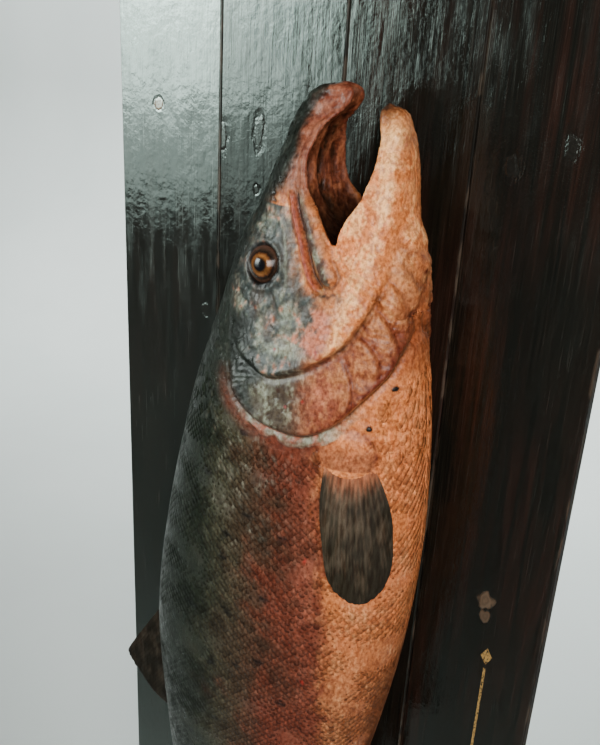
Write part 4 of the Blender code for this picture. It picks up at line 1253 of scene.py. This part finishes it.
def make_fin(name, fan, rays, bow=(0, 0, 0), side=1, on_flank=False, fleshy=0.0, tone=0.5):
    """A closed fan of bony rays with a thin web between them, branching towards a slightly frayed edge. The
    fan is its line of roots and its line of tips; fleshy is the share of it that flesh covers at the root."""
    per_ray = 10
    steps = 44
    share = np.linspace(0, 1, rays * per_ray + 1)
    along = np.linspace(0, 1, steps + 1)
    roots, tips = (
        np.stack([line([(t, point[k]) for t, point in ends])(share) for k in range(3)], axis=1)
        for ends in fan
    )
    fray = FRAY * noise(np.stack([share * rays * 1.7] * 3, axis=1), 1.0, 13)
    t, u = np.meshgrid(share, along, indexing="ij")
    reach = u * (1 + fray[:, None] * (u > 0.99))
    middle = roots[:, None, :] + (tips - roots)[:, None, :] * reach[..., None]
    middle = middle + np.array(bow) * (4 * u * (1 - u))[..., None]
    if on_flank:
        middle[..., 0] += PECTORAL_SPREAD * (t - 0.4) * 4 * u * (1 - u)
        middle[..., 1] += width_at(BODY_LINES, middle[..., 0], middle[..., 2])
    phase = t * rays * 2 * math.pi
    single = 0.5 + 0.5 * np.cos(phase)
    double = 0.5 + 0.5 * np.cos(2 * phase)
    branch = np.clip((u - 0.45) / 0.2, 0, 1)
    ridge = single**1.5 * (1 - branch) + double * branch * 0.75
    joints = 0.5 + 0.5 * np.cos(u * 90 + 3 * np.sin(phase))
    border = np.clip(np.minimum(t, 1 - t) / 0.015, 0, 1) * np.clip((1 - u) / 0.02, 0, 1)
    thick = WEB + RAY_RISE * ridge * (1 - 0.5 * u) + ROOT_RISE * bell(u, 0.14) + JOINT_RISE * joints
    thick = thick * (0.4 + 0.6 * border)
    wave = 0.10 * u**1.5 * np.sin(t * 9 + u * 2)
    normal = np.cross(np.gradient(middle, axis=1), np.gradient(middle, axis=0))
    normal = normal / np.maximum(np.linalg.norm(normal, axis=2, keepdims=True), 1e-9)
    normal = normal * np.sign(normal[..., 1:2].mean() or 1)
    if not on_flank:
        middle = middle + normal * wave[..., None]
    sheets = np.stack([middle + normal * thick[..., None] / 2, middle - normal * thick[..., None] / 2])
    sheets[..., 1] *= side
    points = sheets.reshape(-1, 3)
    count = len(share) * len(along)
    index = np.arange(count).reshape(len(share), len(along))
    top = np.stack([index[:-1, :-1], index[1:, :-1], index[1:, 1:], index[:-1, 1:]], axis=-1).reshape(-1, 4)
    rim = np.concatenate([index[:, 0], index[-1, 1:], index[-2::-1, -1], index[0, -2:0:-1]])
    wall = np.stack([rim, np.roll(rim, -1), np.roll(rim, -1) + count, rim + count], axis=1)
    quads = np.concatenate([top[:, ::-1], top + count, wall])
    obj = mesh_object(name, to_world(points), quads)
    speckle = layered_noise(points, (0.5, 0.5, 1.4), 3, 17)
    ridge_both = np.tile(ridge.ravel(), 2)
    u_both = np.tile(u.ravel(), 2)
    grey = 0.30 * ridge_both + 0.6 * speckle + 0.36 - 0.55 * u_both
    paint = mix(flat(FIN_DARK, len(points)), FIN_BROWN, grey) * tone
    if fleshy:
        edge = fleshy + 0.02 * np.tile(np.sin(phase).ravel(), 2) + 0.07 * speckle
        paint = mix(paint, FIN_FLESH, sigmoid((edge - u_both) / 0.07))
    set_colours(obj, "paint", paint)
    orient_outwards(obj)
    return obj


def orient_outwards(obj):
    bm = bmesh.new()
    bm.from_mesh(obj.data)
    bmesh.ops.recalc_face_normals(bm, faces=bm.faces)
    if bm.calc_volume(signed=True) < 0:
        bmesh.ops.reverse_faces(bm, faces=bm.faces)
    bm.to_mesh(obj.data)
    bm.free()


# ---------------------------------------------------------------------------------------------------------
# Materials
# ---------------------------------------------------------------------------------------------------------


class Finish:
    """A material of shader nodes, fed step by step."""

    def __init__(self, name):
        self.material = bpy.data.materials.new(name)
        self.material.use_nodes = True
        self.tree = self.material.node_tree
        self.shader = self.tree.nodes["Principled BSDF"]
        self.place = self.add("ShaderNodeTexCoord").outputs["Object"]

    def add(self, kind, inputs=None, **settings):
        node = self.tree.nodes.new(kind)
        for name, value in settings.items():
            setattr(node, name, value)
        for name, value in (inputs or {}).items():
            self.feed(node.inputs[name], value)
        return node

    def feed(self, socket, value):
        if isinstance(value, bpy.types.NodeSocket):
            self.tree.links.new(value, socket)
        else:
            socket.default_value = value

    def set(self, **values):
        for name, value in values.items():
            self.feed(self.shader.inputs[name.replace("_", " ")], value)

    def math(self, operation, first, second=0.0):
        return self.add("ShaderNodeMath", {0: first, 1: second}, operation=operation).outputs[0]

    def times(self, first, second):
        return self.math("MULTIPLY", first, second)

    def noise(self, scale, stretch=(1, 1, 1), shift=(0, 0, 0), detail=3.0, rough=0.55, warp=0.0):
        mapping = self.add("ShaderNodeMapping", {"Vector": self.place, "Scale": stretch, "Location": shift})
        inputs = {"Vector": mapping.outputs[0], "Scale": scale, "Detail": detail}
        inputs |= {"Roughness": rough, "Distortion": warp}
        return self.add("ShaderNodeTexNoise", inputs).outputs["Fac"]

    def span(self, value, low, high, to_low=0.0, to_high=1.0):
        inputs = {"Value": value, "From Min": low, "From Max": high, "To Min": to_low, "To Max": to_high}
        return self.add("ShaderNodeMapRange", inputs).outputs["Result"]

    def blend(self, share, first, second, how="MIX"):
        node = self.add("ShaderNodeMix", data_type="RGBA", blend_type=how)
        self.feed(node.inputs[0], share)
        self.feed(node.inputs[6], (*first, 1.0) if isinstance(first, (tuple, np.ndarray)) else first)
        self.feed(node.inputs[7], (*second, 1.0) if isinstance(second, (tuple, np.ndarray)) else second)
        return node.outputs[2]

    def bump(self, height, distance, strength=1.0, below=None):
        inputs = {"Height": height, "Distance": distance, "Strength": strength}
        if below is not None:
            inputs["Normal"] = below
        return self.add("ShaderNodeBump", inputs).outputs["Normal"]


def painted_skin(name, gloss=0.36, coat=0.15, shine=0.35, relief_depth=0.0005, streak=(1, 1, 0.75)):
    """Varnished paint: the piece's own paint, broken up by fine brush streaks, with uneven gloss."""
    made = Finish(name)
    paint = made.add("ShaderNodeAttribute", attribute_name="paint").outputs
    streaks = made.noise(420, streak, detail=4, rough=0.6)
    grains = made.noise(1500, detail=2)
    dark = made.blend(made.span(streaks, 0.38, 0.60), (0.64, 0.54, 0.48), (1.22, 1.25, 1.28))
    colour = made.blend(1.0, paint["Color"], dark, "MULTIPLY")
    fine = made.blend(made.span(grains, 0.3, 0.7), (0.84, 0.84, 0.84), (1.12, 1.12, 1.12))
    colour = made.blend(1.0, colour, fine, "MULTIPLY")
    rough = made.span(made.noise(160, streak, (3, 1, 2)), 0.35, 0.65, gloss - 0.1, gloss + 0.16)
    shine = made.times(paint["Alpha"], shine)
    coat = made.times(paint["Alpha"], coat)
    wrinkles = made.bump(streaks, relief_depth, 0.6)
    pores = made.bump(grains, relief_depth * 0.25, 0.5, wrinkles)
    made.set(Base_Color=colour, Roughness=rough, Normal=pores)
    made.set(Coat_Weight=coat, Coat_Roughness=0.22, Specular_IOR_Level=shine)
    return made.material


def glass_eye():
    made = Finish("glass_eye")
    paint = made.add("ShaderNodeAttribute", attribute_name="paint").outputs["Color"]
    flecks = made.noise(1400, detail=3)
    speckle = made.blend(made.span(flecks, 0.3, 0.7), (0.75, 0.75, 0.75), (1.2, 1.2, 1.2))
    colour = made.blend(1.0, paint, speckle, "MULTIPLY")
    made.set(Base_Color=colour, Roughness=made.span(flecks, 0.3, 0.7, 0.12, 0.2))
    made.set(Coat_Weight=0.55, Coat_Roughness=0.12, Coat_IOR=1.35, Specular_IOR_Level=0.2)
    return made.material


DARK_HEART = (0.012, 0.010, 0.008)
BROWN_HEART = (0.045, 0.022, 0.012)
# Knots: where each is, half its width, how much longer than wide it is, and its colour
KNOTS = (
    (-0.170, 0.476, 0.0042, 1.1, (0.16, 0.07, 0.025)), (-0.106, 0.456, 0.0045, 2.6, DARK_HEART),
    (-0.071, 0.463, 0.0048, 2.7, DARK_HEART), (-0.121, 0.308, 0.004, 1.3, DARK_HEART),
    (-0.072, 0.418, 0.003, 1.2, DARK_HEART), (0.131, 0.459, 0.0052, 1.5, DARK_HEART),
    (0.169, 0.476, 0.0052, 1.7, DARK_HEART), (0.160, 0.115, 0.0065, 1.1, (0.11, 0.072, 0.045)),
    (0.161, 0.100, 0.0042, 1.4, (0.09, 0.058, 0.036)), (-0.02, -0.21, 0.008, 1.4, BROWN_HEART),
    (0.12, -0.36, 0.007, 1.3, BROWN_HEART), (-0.15, -0.41, 0.008, 1.6, BROWN_HEART),
)
GILT = (0.36, 0.22, 0.07)
RULE_X = 0.168
RULE_HALF_WIDTH = 0.0011
RULE_BELOW_ORIGIN = 0.10
RULE_HALF_LENGTH = 0.150
LOZENGES = (0.062, -0.262)
LOZENGE_REACH = 0.0085
LOZENGE_SLIMNESS = 1.7


def stained_wood(name, seed, warmth, varnish, left, right, ruled=False):
    """Dark stained pine under an old varnish, with knots, open grain, dust and worn arrises."""
    made = Finish(name)
    split = made.add("ShaderNodeSeparateXYZ", {0: made.place})
    x, z = split.outputs[0], split.outputs[2]
    shift = (seed * 1.7, seed * 0.9, seed * 2.3)
    fibres = made.noise(900, (1, 1, 0.018), shift, detail=5, rough=0.65)
    bands = made.noise(75, (1, 1, 0.05), shift, detail=4, rough=0.55, warp=1.2)
    patches = made.noise(9, (1, 1, 0.6), shift, detail=3)
    dark = made.blend(made.span(fibres, 0.35, 0.65), (0.0030, 0.0028, 0.0022), (0.0085, 0.0070, 0.0050))
    red = made.blend(made.span(fibres, 0.35, 0.65), (0.009, 0.0042, 0.003), (0.032, 0.0115, 0.0075))
    share = made.times(made.span(bands, 0.42, 0.66), warmth)
    share = made.times(share, made.span(patches, 0.3, 0.65))
    colour = made.blend(share, dark, red)
    height = made.math("ADD", made.span(fibres, 0.3, 0.7), made.times(bands, 1.2))
    wander = made.math("SUBTRACT", made.noise(170, (1, 1, 0.5), shift, detail=3), 0.5)
    for knot_x, knot_z, size, longer, tone in KNOTS:
        if not left < knot_x < right:
            continue
        dx = made.math("DIVIDE", made.math("SUBTRACT", x, knot_x), size)
        dz = made.math("DIVIDE", made.math("SUBTRACT", z, knot_z), size * longer)
        radius = made.math("SQRT", made.math("ADD", made.times(dx, dx), made.times(dz, dz)))
        radius = made.math("ADD", radius, made.times(wander, 1.6))
        inside = made.span(radius, 1.15, 0.85)
        rings = made.math("SINE", made.times(radius, 11.0))
        heart = made.blend(made.span(rings, -1, 1), tuple(0.75 * c for c in tone), tone)
        colour = made.blend(inside, colour, heart)
        rim = made.times(made.span(radius, 0.7, 1.0), made.span(radius, 1.5, 1.05))
        height = made.math("SUBTRACT", height, made.times(rim, 6.0))
    near_left = made.span(x, left + 0.0022, left + 0.0004)
    edge = made.math("MAXIMUM", near_left, made.span(x, right - 0.0024, right - 0.0004))
    chips = made.span(made.noise(130, (1, 1, 0.25), shift, detail=4), 0.5, 0.58)
    worn = made.times(edge, made.times(chips, 0.35))
    colour = made.blend(worn, colour, (0.115, 0.078, 0.052))
    dust = made.span(made.noise(1100, (1, 1, 0.8), shift, detail=1), 0.785, 0.80)
    colour = made.blend(made.times(dust, 0.5), colour, (0.28, 0.28, 0.27))
    if ruled:
        colour = gilt_rule(made, x, split.outputs[1], z, colour)
    gloss = made.span(made.noise(110, (1, 1, 0.2), shift, detail=4), 0.38, 0.66, 0.08, 0.21)
    gloss = made.math("ADD", gloss, made.span(fibres, 0.54, 0.66, 0.0, 0.14))
    gloss = made.math("ADD", gloss, made.times(worn, 0.35))
    face = made.times(made.span(x, left, left + 0.0012), made.span(x, right, right - 0.0012))
    gloss = made.math("ADD", gloss, made.span(face, 0.0, 1.0, 0.5, 0.0))
    grain = made.bump(height, 0.00006, 0.6)
    furrows = made.bump(made.noise(330, (1, 1, 0.035), shift, detail=2, rough=0.5), 0.00018, 0.5, grain)
    wrinkles = made.bump(made.noise(190, (1, 1, 0.8), shift, detail=3), 0.00035, 0.6, furrows)
    dents = made.bump(made.noise(30, (1, 1, 0.4), shift, detail=3), 0.0018, 0.5, wrinkles)
    made.set(Base_Color=colour, Roughness=gloss, Normal=dents)
    made.set(
        Specular_IOR_Level=made.span(face, 0.0, 1.0, 0.05, varnish), Specular_Tint=(0.84, 1.0, 0.93, 1.0)
    )
    return made.material


def gilt_rule(made, x, y, z, colour):
    """An upright painted rule with a lozenge at each end, in worn gold, on the front of the plank alone."""
    across = made.math("ABSOLUTE", made.math("SUBTRACT", x, RULE_X))
    along = made.math("ABSOLUTE", made.math("ADD", z, RULE_BELOW_ORIGIN))
    rule = made.math("LESS_THAN", across, RULE_HALF_WIDTH)
    rule = made.times(rule, made.math("LESS_THAN", along, RULE_HALF_LENGTH))
    for centre in LOZENGES:
        away = made.math("ABSOLUTE", made.math("SUBTRACT", z, centre))
        reach = made.math("ADD", made.times(across, LOZENGE_SLIMNESS), away)
        inside = made.math("LESS_THAN", reach, LOZENGE_REACH)
        rule = made.math("MAXIMUM", rule, inside)
    wear = made.span(made.noise(700, (1, 1, 0.5), detail=4), 0.40, 0.52)
    wear = made.times(wear, made.math("LESS_THAN", y, BOARD_FRONT + 0.002))
    return made.blend(made.times(rule, wear), colour, GILT)


def raw_wood():
    made = Finish("batten_wood")
    fibres = made.noise(700, (0.02, 1, 1), detail=5, rough=0.6)
    bands = made.noise(60, (0.06, 1, 1), detail=3, warp=1.0)
    colour = made.blend(made.span(fibres, 0.35, 0.65), (0.10, 0.058, 0.030), (0.21, 0.135, 0.075))
    colour = made.blend(made.span(bands, 0.4, 0.65, 0, 0.5), colour, (0.13, 0.07, 0.035))
    made.set(Base_Color=colour, Roughness=made.span(fibres, 0.3, 0.7, 0.6, 0.8))
    made.set(Normal=made.bump(made.math("ADD", fibres, bands), 0.0006, 0.5))
    return made.material


def pale_floor():
    made = Finish("pale_floor")
    clouds = made.noise(1.3, detail=4)
    grain = made.noise(220, detail=2)
    colour = made.blend(made.span(clouds, 0.35, 0.65), (0.71, 0.755, 0.745), (0.77, 0.815, 0.80))
    made.set(Base_Color=colour, Roughness=made.span(grain, 0.3, 0.7, 0.6, 0.75))
    made.set(Normal=made.bump(grain, 0.0002, 0.3))
    return made.material


# ---------------------------------------------------------------------------------------------------------
# The pieces, the board, the studio and the camera
# ---------------------------------------------------------------------------------------------------------

FLESH_NODES = (
    "head", "lower_jaw", "maxilla_right", "maxilla_left", "gill_cover_right", "gill_cover_left",
    "trunk_front",
    "trunk_middle", "trunk_rear", "tail_stock",
)


def give_finish(obj, finish):
    """Makes a finish the object's only one."""
    obj.data.materials.clear()
    obj.data.materials.append(finish)


def dress(obj, finish, slot, *nodes):
    """Puts a finished piece on the root, in the place of the nodes it stands for."""
    give_finish(obj, finish)
    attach(obj, "root")
    if nodes:
        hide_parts(*nodes)


def make_fish():
    skin_finish = painted_skin("painted_skin", relief_depth=0.0009)
    scale_finish = painted_skin("painted_scales", gloss=0.42, coat=0.0, shine=0.12, relief_depth=0.0002)
    fin_finish = painted_skin(
        "painted_fins", gloss=0.45, coat=0.0, shine=0.15, relief_depth=0.0004, streak=(1, 1, 0.2)
    )
    dress(make_skin(), skin_finish, "head_skin", *FLESH_NODES)
    for obj in make_scales():
        dress(obj, scale_finish, "flank_skin")
    glass = glass_eye()
    for side_name, side in (("right", 1), ("left", -1)):
        dress(make_eye(side_name, side), glass, "glass_eye", f"eye_{side_name}")
        root = {"on_flank": True, "fleshy": 0.13, "tone": 1.1}
        fin = make_fin(f"pectoral_{side_name}", PECTORAL, 14, (0, 0.3, 0), side, **root)
        dress(fin, fin_finish, "fin_skin", f"pectoral_fin_{side_name}")
        fin = make_fin(f"pelvic_{side_name}", PELVIC, 9, (0.15, 0.1, 0), side, fleshy=0.05)
        dress(fin, fin_finish, "fin_skin", f"pelvic_fin_{side_name}")
    for name, fan, rays in (
        ("dorsal", DORSAL, 13), ("adipose", ADIPOSE, 3), ("anal", ANAL, 10), ("tail", TAIL, 22)
    ):
        dress(make_fin(name, fan, rays), fin_finish, "fin_skin", f"{name}_fin")


# The planks from left to right: how warm the stain of each is and how glossy its varnish
PLANKS = ((0.25, 1.7), (0.35, 0.9), (0.8, 0.7), (1.1, 0.8))


def finish_board():
    for number, (warmth, varnish) in enumerate(PLANKS, 1):
        name = f"plank_{number}"
        low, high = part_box(name)
        ruled = number == len(PLANKS)
        wood = stained_wood(f"stained_{name}", number, warmth, varnish, low.x, high.x, ruled)
        give_finish(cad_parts[name], wood)
    back = raw_wood()
    for number in (1, 2, 3):
        give_finish(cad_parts[f"batten_{number}"], back)


def add_light(name, place, target, size, power, colour, spread):
    data = bpy.data.lights.new(name, "AREA")
    data.shape = "RECTANGLE"
    data.size, data.size_y = size
    data.energy = power
    data.color = colour
    data.spread = math.radians(spread)
    obj = bpy.data.objects.new(name, data)
    obj.location = place
    obj.rotation_euler = (Vector(target) - Vector(place)).to_track_quat("-Z", "Y").to_euler()
    bpy.context.scene.collection.objects.link(obj)


STUDIO_BACK = 1.5
COVE_RADIUS = 0.9
STUDIO_HALF = 9.0
STUDIO_FRONT = -9.0
STUDIO_TOP = 5.0
# Panes of the window: the height, the size upright and the power of each
WINDOW = (("top", 0.90, 0.74, 5.6), ("middle", 0.42, 0.22, 0.7), ("foot", 0.15, 0.32, 0.25))
LENS = 41.19
SENSOR = 36
# The camera's place and turn, as the first three rows of its matrix
CAMERA_ROWS = (
    (0.86916, -0.22581, 0.43998, 0.2923),
    (0.49190, 0.30307, -0.81620, -0.6253),
    (0.05096, 0.92583, 0.37449, 0.54),
)


def make_studio():
    """A plain pale floor that curves up behind the board, a window light, a fill and a light on the cove."""
    floor_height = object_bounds()[0][2] - 0.001
    turn = np.linspace(0, math.pi / 2, 25)
    profile = [(STUDIO_FRONT, floor_height)]
    profile += [
        (STUDIO_BACK + COVE_RADIUS * math.sin(a), floor_height + COVE_RADIUS * (1 - math.cos(a)))
        for a in turn
    ]
    profile += [(STUDIO_BACK + COVE_RADIUS, STUDIO_TOP)]
    corners = [(x, y, z) for y, z in profile for x in (-STUDIO_HALF, STUDIO_HALF)]
    strips = np.array([(2 * i, 2 * i + 1, 2 * i + 3, 2 * i + 2) for i in range(len(profile) - 1)])
    floor = mesh_object("floor", corners, strips)
    floor.data.materials.append(pale_floor())
    world = bpy.data.worlds.new("studio")
    world.use_nodes = True
    background = world.node_tree.nodes.get("Background") or world.node_tree.nodes.new("ShaderNodeBackground")
    background.inputs["Color"].default_value = (0.86, 0.90, 0.92, 1)
    background.inputs["Strength"].default_value = 0.08
    bpy.context.scene.world = world
    for name, height, tall, power in WINDOW:
        target = (-0.03, -0.1, min(height, 0.30))
        add_light(f"window_{name}", (-1.45, -1.7, height), target, (0.95, tall), power, (0.89, 1.0, 0.96), 60)
    add_light("fill", (0.8, -1.3, 0.75), (0.03, -0.1, 0.25), (0.9, 1.0), 5.8, (1.0, 0.96, 0.92), 60)
    add_light("backdrop", (-1.2, 1.2, 2.4), (-1.2, 2.3, 0.3), (5.0, 1.2), 104, (0.95, 1.0, 0.98), 110)


def make_camera():
    data = bpy.data.cameras.new("camera")
    data.lens = LENS
    data.sensor_width = SENSOR
    obj = bpy.data.objects.new("camera", data)
    obj.matrix_world = Matrix((*CAMERA_ROWS, (0, 0, 0, 1)))
    bpy.context.scene.collection.objects.link(obj)
    bpy.context.scene.camera = obj


make_fish()
finish_board()
make_studio()
make_camera()
